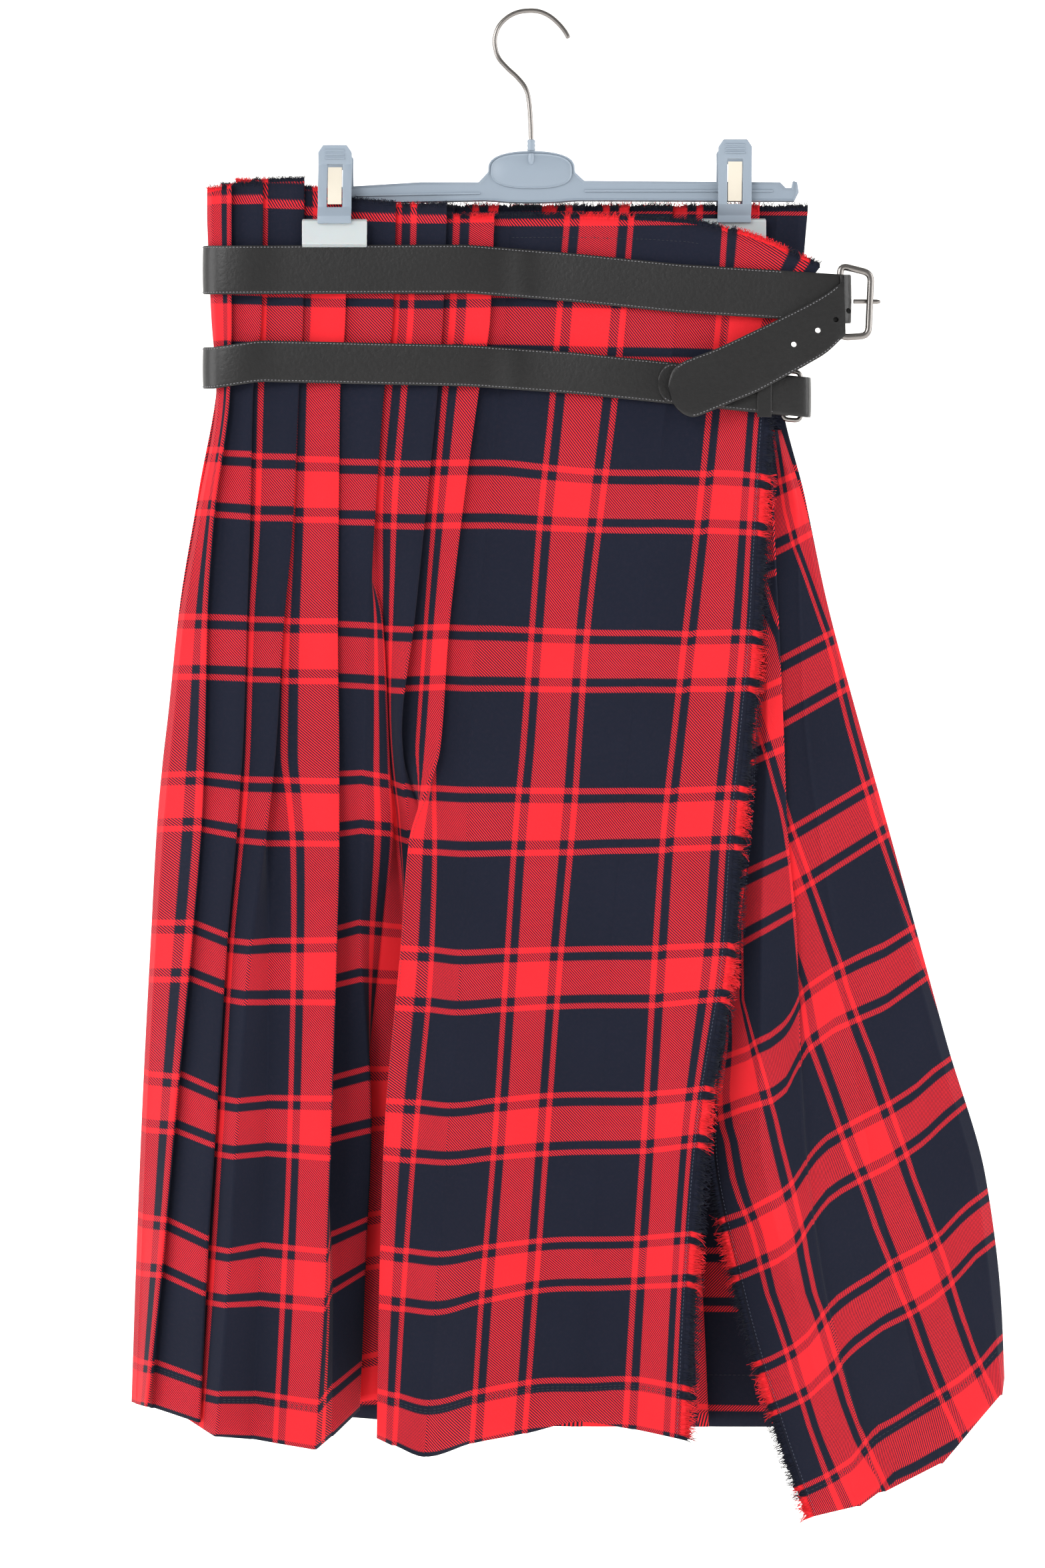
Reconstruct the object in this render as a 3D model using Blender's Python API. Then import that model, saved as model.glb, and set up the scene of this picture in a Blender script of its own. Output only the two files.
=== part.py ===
"""A long tartan wrap kilt with frayed edges and two sewn-on straps, on a clip hanger.

Metres, +Z up, +X to the right as the front is seen, the front faces -Y. The origin is
the inside top of the hanger's hook. The cloth is one strip: over-apron, knife pleats,
the pleated back, and a free end turned forward at the right.

Tables are in millimetres. "across" is a place left or right of the hook, "drop" is a
distance below its inside top, and "depth" is toward the wall. Across and drop are read
in the hanger's plane as a viewer sees them from VIEW_DISTANCE, and seen() slides each
point along that line of sight to its own depth.
"""
import math

import bmesh
import bpy
import numpy as np

MM = 0.001
GAP = 0.3

VIEW_DISTANCE = 2200.0
VIEW_ACROSS = -3.3
VIEW_DROP = 540.0

CLOTH_WALL = 1.2
LAYER_PITCH = 1.8
SEAM_WIDTH = 0.3
CREASE_WIDTH = 2.4
FULLY_OPEN = 1.9
# The levels at which the walls have a row of points, closest where the seventh pleat opens.
FRONT_ROWS = (145, 180, 215, 266, 310, 355, 395, 434, 474, 514, 544, 579, 616, 654, 720, 785,
              840, 892, 945, 995)
BACK_ROWS = (145, 215, 266, 355, 434, 514, 579, 654, 785, 892, 945, 995)
UNDER_ROWS = (292, 322, 355, 394, 434, 474, 514, 546, 579, 616, 654, 720, 785, 840, 892, 945, 995,
              1053)

STRAP_THICKNESS = 2.4
UPPER_STRAP_HEIGHT = 34.0
LOWER_STRAP_HEIGHT = 29.0

WIRE_DIAMETER = 3.3
BUCKLE_BAR = 4.7
LOWER_BUCKLE_BAR = 3.2

# The drops at which the fold tables below give their values. The last one is the hem.
LEVELS = (145, 215, 266, 355, 434, 514, 544, 579, 654, 785, 892, 995)

# How far the front and the back of the cloth stand from the hanger's plane.
FRONT_DEPTH = (-5.5, -5.7, -7.5, -12, -18, -24, -26, -29, -35, -45, -53, -58)
BACK_DEPTH = (5, 5.2, 6.5, 10, 14, 18, 19, 20, 24, 28, 30, 32)

# Fold lines of the front, in order along the cloth from the apron's free edge.
# E is a pressed pleat edge, I the inner fold beneath it, A a line on the apron.
# name: (top drop, hem drop, across at each level, depth beyond FRONT_DEPTH at each level)
APRON_FOLDS = {
    "A0": (178, 999, (230, 182, 168, 162, 158, 151, 148, 145, 140, 120, 112, 107),
           (-20, -15, -12, -9, -6, -6, -6, -6, -6, -8, -10, -12)),
    "A1": (154, 992, (144, 139, 134, 125, 116, 107, 103.5, 100, 95, 87, 80, 74),
           (-13, -10, -7, -3, -3, -4, -4, -4, -3, -3, -4, -5)),
    "A2": (147, 987, (108, 104, 98, 88, 79, 72, 69, 66, 59, 52, 44, 37),
           (-9, -8, -7, -6, -5, -4, -4, -4, -2, 2, 6, 8)),
    "A3": (145, 995, (73, 67, 62, 51, 42, 36, 34, 31, 24, 14, 6, -2),
           (-5, -5, -5, -5, -6, -6, -6, -6, -4, 0, 3, 5)),
    "A4": (144, 1002, (28, 22, 18, 9, 3, -3, -6, -9, -14, -23, -32, -39),
           (-1, -1, -1, -2, -3, -4, -4, -5, -6, -8, -8, -6)),
    "A5": (144, 1011, (-12, -16, -20, -28, -36, -40, -41, -42, -46, -56, -64, -71),
           (0, 0, 0, 0, -1, -2, -3, -6, -12, -20, -25, -28)),
    "I7": (144, 1003, (-40, -42.5, -50, -57, -63, -66, -66.5, -66, -68, -80, -88, -94),
           (-0.5, -0.5, -0.5, -0.5, 0, 0, -3.5, -8, -13, -20, -24, -26)),
}
PLEAT_FOLDS = {
    "E7": (144, 998, (-24, -27, -35, -47, -56, -62, -71, -82, -88, -99.5, -103, -104.6),
           (-5, -5, -5, -5, -5, -6, -8, -10, -12, -16, -17, -18)),
    "I6": (144, 985, (-77, -80, -82, -85, -88, -93, -81, -70.5, -68, -70.5, -74, -77),
           (-0.5, -0.5, -0.5, 1, 3, 7, 5, 3, 4, 2, 0, -2)),
    "E6": (136, 971, (-57.4, -60, -63.5, -72, -80, -89, -87, -83.6, -83.6, -89, -93, -95),
           (-5.8, -5.8, -5.8, -5.6, -5, -4, 2, 10, 16, 22, 26, 28)),
    "J5": (136, 971, (-94, -96, -101, -107, -105, -99.5, -97, -93, -87, -95, -99.5, -102),
           (-2, -2, -2, 0, 6, 9, 10, 14, 20, 24, 27, 29)),
    "I5": (136, 974, (-111.6, -113.5, -119, -119.5, -102, -98, -97, -95, -101, -113.5, -117, -121),
           (-0.5, -0.5, -0.5, 1, 1, 3, 5, 8, 16, 26, 29, 30)),
    "E5": (135, 979, (-93, -95, -101, -107.4, -111.6, -114, -115, -115, -117, -110, -114, -118),
           (-5, -5, -5, -5, -3, -2, -2, 0, 4, 10, 14, 18)),
    "I4": (130, 997, (-144, -146.6, -150, -151, -151, -148.5, -147, -146, -144, -140.6, -136, -137),
           (-0.5, -0.5, -0.5, 0, 1, 3, 4, 6, 8, 6, -2, -10)),
    "E4": (128, 1006, (-127, -128.4, -132, -133, -133.6, -132.6, -132.6, -132.6, -134.5, -138.7,
                       -142.4, -149),
           (-5, -5, -5, -5.5, -6, -7, -8, -9, -13, -20, -26, -30)),
    "I3": (120, 999, (-176, -178, -180, -183.5, -189, -192, -187, -182.6, -181, -183, -188, -193),
           (-0.5, -0.5, -0.3, 0.8, 1.2, 2.5, 2.5, 1.5, -2, -8, -12, -14)),
    "E3": (118, 997, (-157, -158, -161, -165, -172, -177, -180, -184.5, -194, -203.6, -209.7,
                      -217.6),
           (-5, -5, -5, -5, -5, -6, -7, -8, -12, -18, -22, -25)),
    "I2": (119, 988, (-203, -204, -205, -206, -209, -212, -213, -215, -222, -232, -240, -246),
           (-0.5, -0.5, -0.3, 0, 0.3, 0.8, 1, 1.5, 3.5, 7, 10, 12)),
    "E2": (121, 987, (-186, -187, -193, -195, -197.5, -200, -202, -204.5, -211, -219, -225.5,
                      -230),
           (-5, -5, -5, -5, -5, -5.5, -6, -7, -9, -12, -14, -15)),
    "I1": (122, 977, (-213, -213, -213, -222, -228, -230, -231, -232, -237, -248, -257, -262),
           (-2.5, -2.5, -2, 0, 0, 1, 1, 1, 2, 5, 7, 7)),
    "E1": (123, 976, (-208, -208, -209, -220, -225, -226.5, -227.5, -229, -235, -247, -256, -266),
           (-7.5, -7.5, -7.5, -6, -5, -4, -4, -4, -4, -2, 0, 2)),
    "S1": (125, 974, (-220.5, -218, -215.5, -228, -240, -248, -251, -254, -259, -266, -270, -274),
           (-4, -4, -3, 1, 4, 8, 9, 10, 14, 22, 30, 34)),
    "S0": (126, 973, (-224, -221, -217.5, -231, -244, -252.5, -256, -259, -263, -269.5, -273.7,
                      -277),
           (2.2, 2.7, 5.6, 11, 16, 21, 23, 25, 30, 39, 46, 50)),
}

# The right-hand outline, where the back ends above and turns forward below.
RIGHT_SIDE = (196.6, 190, 177, 195, 210.6, 228, 235, 245, 263, 294, 321, 332)
RIGHT_SIDE_DEPTH = (4, 4, 4, 2, 2, 2, 2, 2, 3, 4, 4, 4)

BACK_PLEATS = 12
BACK_TOP_DROP = 139.0
BACK_LEFT_HEM_DROP = 973.0
BACK_MIDDLE_HEM_DROP = 990.0
BACK_RIGHT_HEM_DROP = 956.0
BACK_OVERLAP = (20, 20, 18, 15, 13, 12, 11, 10, 9, 8, 7, 6)
BACK_EDGE_RISE = (5, 5, 5, 5.5, 6, 7, 7, 8, 9, 11, 12, 13)
BACK_INNER_RISE = (1, 1, 1, 1, 0.5, 0, 0, -0.5, -1, -2, -3, -4)

# Fold lines of the free end, from its frayed edge to the right-hand outline.
# name: (top drop, hem drop, across at each level, depth at each level)
UNDER_TOP_DROP = 292.0
UNDER_LEVELS = (292, 355, 434, 514, 579, 654, 785, 892, 995, 1053)
UNDER_FOLDS = {
    "F0": (1053, (164, 179, 172, 164, 158, 149, 133, 152, 181, 201),
           (-4, -5, -8, -12, -15, -18, -26, -34, -40, -42)),
    "F1": (1046, (167, 183, 178, 171, 166, 164, 163, 184, 213, 232),
           (-4.2, -5.8, -10, -14.5, -18, -24, -36, -46, -54, -57)),
    "F2": (1036, (170, 186, 182, 176, 174, 180, 189, 203, 228, 247),
           (-4, -5.4, -8, -10, -12, -16, -28, -38, -47, -50)),
    "F3": (1016, (173, 189, 191, 195, 203, 214, 233, 253, 275, 290),
           (-3.2, -4.4, -6, -7, -9, -11, -15, -20, -26, -30)),
    "F4": (968, (175.5, 192, 207, 224, 240, 257, 289, 315, 327, 332),
           (-1, -2, -3, -3, -3.5, -4, -5, -6, -7, -8)),
    "F5": (956, (177.6, 195, 210.6, 229.2, 245, 263, 294, 321, 332, 334),
           (3.1, 1.1, 1.1, 1.1, 1.1, 2.1, 3.1, 3.1, 3.1, 3.1)),
}

# Strap runs across the front: the drop of the strap's middle, by place across.
UPPER_STRAP_LINE = ((-223, 180), (-42, 179.3), (33, 185.4), (107, 192.9), (173, 197), (222, 200.3))
LOWER_STRAP_LINE = ((-220, 248.6), (-188, 243.8), (-42, 247), (33, 252.2), (96, 258.7), (197, 269.2))
STRAP_CLEARANCE = 1.2
STRAP_TURN_START = -212.0
STRAP_TURN_REACH = 14.2
UPPER_BAR = 219.3
UPPER_BACK_END = 186.0
LOWER_BAR = 179.0
LOWER_OUTER_BAR = 191.5
LOWER_BACK_END = 172.0

# The upper strap's free tongue, from its fold at the buckle to its rounded tip.
# (top edge across, top edge drop, bottom edge across, bottom edge drop)
UPPER_TONGUE = (
    (220.9, 188, 222.3, 226), (210.6, 196.1, 210.6, 237.2), (196, 204.5, 199, 244.5),
    (173.3, 215.8, 183, 253.5), (150, 227, 161.6, 265.3), (131, 235.8, 144, 272.5),
    (112, 243, 127, 279.5), (103.5, 248.5, 116.5, 283), (100, 255, 108, 280), (98.8, 261, 102, 273.5),
)
TONGUE_DEPTH = -30.5

PRONG_DIAMETER = 3.2
KEEPER_ACROSS = 166.2
KEEPER_WIDTH = 10.0
KEEPER_THICKNESS = 1.6

BAR_LEFT = -186.0
BAR_RIGHT = 189.0
BAR_TOP = 119.0
BAR_DEPTH = 6.0
TAB_MIDDLE = 3.0
TAB_HALF_WIDTH = 30.5
TAB_TOP = 97.0
TAB_RISE = 15.0
COLLAR_ACROSS = 2.8
COLLAR_DIAMETER = 5.6

CLIP_WIDTH = 23.4
WINDOW_HALF = 5.4
LEVER_HEIGHT = 56.0
LEVER_THICKNESS = 2.4
CORNER_EASE = 3.5
PAD_WIDTH = 45.0
PAD_HEIGHT = 20.0
PAD_THICKNESS = 3.5
RIDGE_HEIGHT = 11.0

FRINGE_STRIP = 1.2
FRINGE_THICKNESS = 1.0
FRINGE_LENGTH = 11.0
WAIST_FRINGE_LENGTH = 8.0
APRON_STRANDS = 120
UNDER_STRANDS = 80
WAIST_BACK_STRANDS = 30
WAIST_FRONT_STRANDS = 20

COLOURS = {
    "tartan": ((0.30, 0.02, 0.03, 1), 0.9, 0.0),
    "tartan_dark": ((0.02, 0.022, 0.04, 1), 0.9, 0.0),
    "fringe": ((0.45, 0.02, 0.03, 1), 0.95, 0.0),
    "strap": ((0.012, 0.012, 0.013, 1), 0.35, 0.0),
    "metal": ((0.50, 0.49, 0.47, 1), 0.3, 1.0),
    "grey": ((0.26, 0.30, 0.35, 1), 0.45, 0.0),
    "pad": ((0.72, 0.74, 0.75, 1), 0.5, 0.0),
    "beige": ((0.62, 0.58, 0.50, 1), 0.4, 0.0),
}


def clear_scene():
    for item in list(bpy.data.objects):
        bpy.data.objects.remove(item, do_unlink=True)


def material(name, key):
    colour, roughness, metallic = COLOURS[key]
    made = bpy.data.materials.new(name)
    made.use_nodes = True
    shader = made.node_tree.nodes["Principled BSDF"]
    shader.inputs["Base Color"].default_value = colour
    shader.inputs["Roughness"].default_value = roughness
    shader.inputs["Metallic"].default_value = metallic
    made.diffuse_color = colour
    return made


def add_object(name, mesh_tool, key, smooth_angle=35.0):
    """Turns a bmesh into a named object in metres, with its faces pointing out."""
    bmesh.ops.recalc_face_normals(mesh_tool, faces=mesh_tool.faces)
    if mesh_tool.calc_volume(signed=True) < 0:
        bmesh.ops.reverse_faces(mesh_tool, faces=mesh_tool.faces)
    bmesh.ops.scale(mesh_tool, vec=(MM, MM, MM), verts=mesh_tool.verts)
    mesh = bpy.data.meshes.new(name)
    mesh_tool.to_mesh(mesh)
    mesh_tool.free()
    mesh.shade_smooth()
    mesh.set_sharp_from_angle(angle=math.radians(smooth_angle))
    item = bpy.data.objects.new(name, mesh)
    bpy.context.scene.collection.objects.link(item)
    mesh.materials.append(material(name, key))
    return item


def smooth_value(places, values, at):
    """Reads a table at any place, on a smooth curve that never overshoots its values."""
    places = np.asarray(places, float)
    values = np.asarray(values, float)
    at = float(np.clip(at, places[0], places[-1]))
    i = int(np.clip(np.searchsorted(places, at) - 1, 0, len(places) - 2))
    steps = np.diff(values) / np.diff(places)
    slopes = np.zeros(len(values))
    slopes[0], slopes[-1] = steps[0], steps[-1]
    for n in range(1, len(values) - 1):
        if steps[n - 1] * steps[n] > 0:
            slopes[n] = 2 * steps[n - 1] * steps[n] / (steps[n - 1] + steps[n])
    width = places[i + 1] - places[i]
    t = (at - places[i]) / width
    rise = values[i + 1] - values[i]
    start, end = slopes[i] * width, slopes[i + 1] * width
    return values[i] + t * (start + t * (3 * rise - 2 * start - end + t * (start + end - 2 * rise)))


def seen(across, drop, depth):
    """The point at this depth that a viewer sees at this place in the hanger's plane."""
    spread = (VIEW_DISTANCE + depth) / VIEW_DISTANCE
    x = VIEW_ACROSS + (across - VIEW_ACROSS) * spread
    z = -VIEW_DROP - (drop - VIEW_DROP) * spread
    return np.array((x, depth, z))


def unit(vector):
    length = float(np.linalg.norm(vector))
    return vector / length if length > 1e-9 else vector


def fold_path(points, seam_at=None):
    """Splits each fold of a section in two points, so that a closed fold has a blunt nose.

    At seam_at the two points are the ends of two cloth pieces, a seam's gap apart.
    """
    points = [np.asarray(p, float) for p in points]
    path = []
    for n, point in enumerate(points):
        if n in (0, len(points) - 1):
            path.append(point)
            continue
        before = unit((point - points[n - 1])[:2])
        after = unit((points[n + 1] - point)[:2])
        total = before + after
        if n == seam_at:
            turned = math.sqrt(max(0.0, 1 - (float(np.linalg.norm(total)) / 2) ** 2))
            width = SEAM_WIDTH + (LAYER_PITCH - SEAM_WIDTH) * turned
        else:
            folded = 1 - min(1.0, float(np.linalg.norm(total)) / FULLY_OPEN)
            width = CREASE_WIDTH + (LAYER_PITCH - CREASE_WIDTH) * folded
        along = np.append(unit(total), 0.0) * width / 2
        path += [point - along, point + along]
    return path


def section_normals(path):
    """Unit normals of a section in plan, lengthened at corners so that the wall keeps its width."""
    flat = [p[:2] for p in path]
    normals = []
    for n in range(len(flat)):
        before = unit(flat[n] - flat[n - 1]) if n > 0 else None
        after = unit(flat[n + 1] - flat[n]) if n < len(flat) - 1 else None
        before = after if before is None else before
        after = before if after is None else after
        bisector = unit(before + after) if np.linalg.norm(before + after) > 1e-6 else before
        normal = np.array((-bisector[1], bisector[0]))
        corner = max(0.62, abs(float(normal @ np.array((-after[1], after[0])))))
        normals.append(np.append(normal / corner, 0.0))
    return normals


def wall_mesh(rows, thickness):
    """A closed wall whose middle surface runs through rows of points, top row first."""
    mesh_tool = bmesh.new()
    sides = ([], [])
    for path in rows:
        normals = section_normals(path)
        for side, sign in zip(sides, (1, -1)):
            side.append([mesh_tool.verts.new(p + n * sign * thickness / 2)
                         for p, n in zip(path, normals)])
    front, back = sides
    for r in range(len(rows) - 1):
        for c in range(len(rows[0]) - 1):
            mesh_tool.faces.new((front[r][c], front[r][c + 1], front[r + 1][c + 1], front[r + 1][c]))
            mesh_tool.faces.new((back[r][c], back[r + 1][c], back[r + 1][c + 1], back[r][c + 1]))
        for c in (0, len(rows[0]) - 1):
            mesh_tool.faces.new((front[r][c], back[r][c], back[r + 1][c], front[r + 1][c]))
    for c in range(len(rows[0]) - 1):
        for r in (0, len(rows) - 1):
            mesh_tool.faces.new((front[r][c], front[r][c + 1], back[r][c + 1], back[r][c]))
    bmesh.ops.triangulate(mesh_tool, faces=mesh_tool.faces)
    return mesh_tool


def front_point(fold, share):
    """A point of a front fold line, at a share of the way from its top to its hem."""
    top, hem, across, depth = fold
    drop = top + (hem - top) * share
    level = LEVELS[0] + (LEVELS[-1] - LEVELS[0]) * (drop - LEVELS[0]) / (hem - LEVELS[0])
    depth_here = smooth_value(LEVELS, FRONT_DEPTH, level) + smooth_value(LEVELS, depth, level)
    return seen(smooth_value(LEVELS, across, level), drop, depth_here)


def row_shares(levels=FRONT_ROWS):
    return [(level - levels[0]) / (levels[-1] - levels[0]) for level in levels]


def build_front():
    folds = list(APRON_FOLDS.values()) + list(PLEAT_FOLDS.values())
    seam = list(APRON_FOLDS).index("I7")
    split = 2 * seam
    rows = [fold_path([front_point(fold, share) for fold in folds], seam) for share in row_shares()]
    apron = [row[:split] for row in rows]
    pleats = [row[split:] for row in rows]
    add_object("over_apron", wall_mesh(apron, CLOTH_WALL), "tartan")
    add_object("pleats_front", wall_mesh(pleats, CLOTH_WALL), "tartan")


def back_point(share_across, level, rise, hem_share):
    """A point of the back, at a share of the way from the left outline to the right one."""
    left = smooth_value(LEVELS, PLEAT_FOLDS["S0"][2], level)
    right = smooth_value(LEVELS, RIGHT_SIDE, level)
    left += 3 * GAP
    across = left + (right - left) * share_across
    left_depth = (smooth_value(LEVELS, FRONT_DEPTH, level)
                  + smooth_value(LEVELS, PLEAT_FOLDS["S0"][3], level) + 4 * GAP)
    base = smooth_value(LEVELS, BACK_DEPTH, level)
    right_depth = smooth_value(LEVELS, RIGHT_SIDE_DEPTH, level) + LAYER_PITCH / 2
    reach_left = min(1.0, share_across / 0.06)
    reach_right = min(1.0, (1 - share_across) / 0.10)
    depth = left_depth + (base - left_depth) * math.sin(reach_left * math.pi / 2)
    depth = right_depth + (depth - right_depth) * math.sin(reach_right * math.pi / 2)
    depth += rise * min(reach_left, reach_right)
    hem = smooth_value((0, 0.5, 0.85, 1),
                       (BACK_LEFT_HEM_DROP, BACK_MIDDLE_HEM_DROP, BACK_MIDDLE_HEM_DROP,
                        BACK_RIGHT_HEM_DROP), share_across)
    top = smooth_value((0, 0.25, 1), (PLEAT_FOLDS["S0"][0], BACK_TOP_DROP, BACK_TOP_DROP),
                       share_across)
    return seen(across, top + (hem - top) * hem_share, depth)


def back_section(share):
    level = LEVELS[0] + (LEVELS[-1] - LEVELS[0]) * share
    overlap = smooth_value(LEVELS, BACK_OVERLAP, level)
    edge_rise = smooth_value(LEVELS, BACK_EDGE_RISE, level)
    inner_rise = smooth_value(LEVELS, BACK_INNER_RISE, level)
    width = smooth_value(LEVELS, RIGHT_SIDE, level) - smooth_value(LEVELS, PLEAT_FOLDS["S0"][2], level)
    points = [back_point(0, level, 0, share), back_point(0.02, level, 0, share)]
    for n in range(BACK_PLEATS):
        edge = 0.07 + 0.80 * n / (BACK_PLEATS - 1)
        points.append(back_point(edge + overlap / width, level, inner_rise, share))
        points.append(back_point(edge, level, edge_rise, share))
    last_rise = (edge_rise + inner_rise) / 2
    points += [back_point(0.95, level, last_rise, share), back_point(1, level, 0, share)]
    return points


def build_back():
    rows = [fold_path(back_section(share)) for share in row_shares(BACK_ROWS)]
    add_object("pleats_back", wall_mesh(rows, CLOTH_WALL), "tartan_dark")


def build_under_apron():
    rows = []
    for share in row_shares(UNDER_ROWS):
        points = []
        for hem, across, depth in UNDER_FOLDS.values():
            drop = UNDER_TOP_DROP + (hem - UNDER_TOP_DROP) * share
            level = UNDER_TOP_DROP + (UNDER_LEVELS[-1] - UNDER_TOP_DROP) * share
            points.append(seen(smooth_value(UNDER_LEVELS, across, level), drop,
                               smooth_value(UNDER_LEVELS, depth, level)))
        rows.append(points)
    add_object("under_apron", wall_mesh(rows, CLOTH_WALL), "tartan")


def cloth_front(across, drop):
    """Depth of the foremost cloth, read straight from pleat edge to pleat edge."""
    knots = []
    for name, fold in {**APRON_FOLDS, **PLEAT_FOLDS}.items():
        if name[0] in "AES" and name != "S0":
            nose = LAYER_PITCH / 2 if name[0] == "E" else 0
            depth = smooth_value(LEVELS, FRONT_DEPTH, drop) + smooth_value(LEVELS, fold[3], drop) - nose
            knots.append((smooth_value(LEVELS, fold[2], drop), depth))
    knots.sort()
    return float(np.interp(across, [k[0] for k in knots], [k[1] for k in knots]))


def strap_depth(across, drop, height):
    """Where a strap's middle lies, just clear of the cloth from its top edge to its bottom one."""
    drops = (drop - height / 2, drop, drop + height / 2)
    foremost = min(cloth_front(across + aside, d) for d in drops for aside in (-10, 0, 10))
    return foremost - CLOTH_WALL / 2 - STRAP_CLEARANCE - STRAP_THICKNESS / 2


def back_strap_depth(drop, height):
    low = drop + height / 2
    noses = smooth_value(LEVELS, BACK_DEPTH, low) + smooth_value(LEVELS, BACK_EDGE_RISE, low)
    return noses + LAYER_PITCH / 2 + CLOTH_WALL / 2 + STRAP_CLEARANCE + STRAP_THICKNESS / 2


def strap_line(line, across):
    return float(np.interp(across, [p[0] for p in line], [p[1] for p in line]))


def ribbon(name, route, key="strap", thickness=STRAP_THICKNESS):
    """A strap along a route of (across, depth, drop of top edge, drop of bottom edge)."""
    top = [seen(a, high, y) for a, y, high, low in route]
    bottom = [seen(a, low, y) for a, y, high, low in route]
    return add_object(name, wall_mesh([top, bottom], thickness), key)


def arc(centre, radius, start, end, count):
    """Points (across, depth) on an arc. 0 degrees is to the right and 90 is toward the wall."""
    angles = [math.radians(start + (end - start) * n / (count - 1)) for n in range(count)]
    return [(centre[0] + radius * math.cos(a), centre[1] + radius * math.sin(a)) for a in angles]


def front_run(line, height, from_across, to_across, steps):
    run = []
    for n in range(steps + 1):
        across = from_across + (to_across - from_across) * n / steps
        run.append((across, strap_depth(across, strap_line(line, across), height)))
    return run


def left_turn(line, height, front_depth, back_depth):
    """Round the left side, from the front run's depth to the back run's."""
    middle = (front_depth + back_depth) / 2
    reach = (back_depth - front_depth) / 2
    turn = []
    for n in range(1, 8):
        angle = math.pi * n / 8
        turn.append((STRAP_TURN_START - STRAP_TURN_REACH * math.sin(angle),
                     middle - reach * math.cos(angle)))
    return turn


def with_edges(points, line, height):
    route = []
    for across, depth in points:
        middle = strap_line(line, across)
        route.append((across, depth, middle - height / 2, middle + height / 2))
    return route


def loop_and_front(line, height, bar, bar_width, steps):
    """The strap's sewn end round the buckle's bar, then its run across the front."""
    depth = strap_depth(bar - 12, strap_line(line, bar), height)
    radius = bar_width / 2 + GAP + STRAP_THICKNESS / 2
    centre = (bar, depth + radius)
    points = [(bar - 6, depth + STRAP_THICKNESS + 2 * GAP)] + arc(centre, radius, 105, -90, 8)
    return points + front_run(line, height, bar - 12, STRAP_TURN_START, steps), centre


def build_upper_strap():
    line, height = UPPER_STRAP_LINE, UPPER_STRAP_HEIGHT
    points, centre = loop_and_front(line, height, UPPER_BAR, BUCKLE_BAR, 22)
    back = back_strap_depth(LEVELS[1], 0)
    points += left_turn(line, height, points[-1][1], back)
    points.append((STRAP_TURN_START, back))
    points += [(across, back) for across in (-100, 0, 100, UPPER_BACK_END)]
    ribbon("strap_upper", with_edges(points, line, height))

    radius = BUCKLE_BAR / 2 + 2 * GAP + STRAP_THICKNESS * 1.5
    points = [(UPPER_BACK_END + GAP, back), (201, back - 1.5), (212, back - 6), (221, -2), (225, -9)]
    points += arc(centre, radius, 10, -80, 6)
    route = with_edges(points, line, height)
    top = [seen(across, high, depth) for across, depth, high, low in route]
    bottom = [seen(across, low, depth) for across, depth, high, low in route]
    for top_across, top_drop, bottom_across, bottom_drop in UPPER_TONGUE:
        top.append(seen(top_across, top_drop, TONGUE_DEPTH))
        bottom.append(seen(bottom_across, bottom_drop, TONGUE_DEPTH))
    add_object("strap_upper_tongue", wall_mesh([top, bottom], STRAP_THICKNESS), "strap")

    depth = centre[1]
    corners = [seen(UPPER_BAR, 176.8, depth), seen(241, 182.3, depth), seen(239, 226, depth),
               seen(UPPER_BAR, 227.3, depth)]
    ring_prism("buckle_upper", corners, BUCKLE_BAR, "metal")
    prong = [seen(228.8, 202, depth + 3.4), seen(238, 202, depth + 4.4), seen(247.5, 202.2, depth + 4.4)]
    rod("prong_upper", prong, PRONG_DIAMETER, "metal")


def build_lower_strap():
    line, height = LOWER_STRAP_LINE, LOWER_STRAP_HEIGHT
    points, centre = loop_and_front(line, height, LOWER_BAR, LOWER_BUCKLE_BAR, 20)
    back = back_strap_depth(strap_line(line, 0), height)
    points += left_turn(line, height, points[-1][1], back)
    points.append((STRAP_TURN_START, back))
    points += [(across, back) for across in (-100, 0, 100, LOWER_BACK_END)]
    ribbon("strap_lower", with_edges(points, line, height))

    depth = centre[1]
    front = depth - LOWER_BUCKLE_BAR / 2 - 2 * GAP - STRAP_THICKNESS * 1.5
    points = [(LOWER_BACK_END + GAP, back), (188, back - 3), (194, back - 10), (197, -3), (197.6, -12),
              (196.5, front + 3), (193, front), (LOWER_BAR, front)]
    for across in (167, 150, 130, 112, 102):
        under = strap_depth(across, strap_line(line, across), height)
        points.append((across, under - STRAP_THICKNESS - 2 * GAP))
    route = with_edges(points, line, height - 1)
    tip = route[-1]
    middle = (tip[2] + tip[3]) / 2
    half = (height - 1) / 2
    for beyond in (3, 6, 8.5, 10):
        taper = math.sqrt(1 - (beyond / 10.3) ** 2)
        route.append((tip[0] - beyond, tip[1], middle - half * taper, middle + half * taper))
    ribbon("strap_lower_tongue", route)

    corners = [seen(LOWER_BAR, 250.5, depth), seen(LOWER_OUTER_BAR, 251.5, depth),
               seen(LOWER_OUTER_BAR, 285.5, depth), seen(LOWER_BAR, 284.5, depth)]
    ring_prism("buckle_lower", corners, LOWER_BUCKLE_BAR, "metal")
    build_keeper(line, height)


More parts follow.
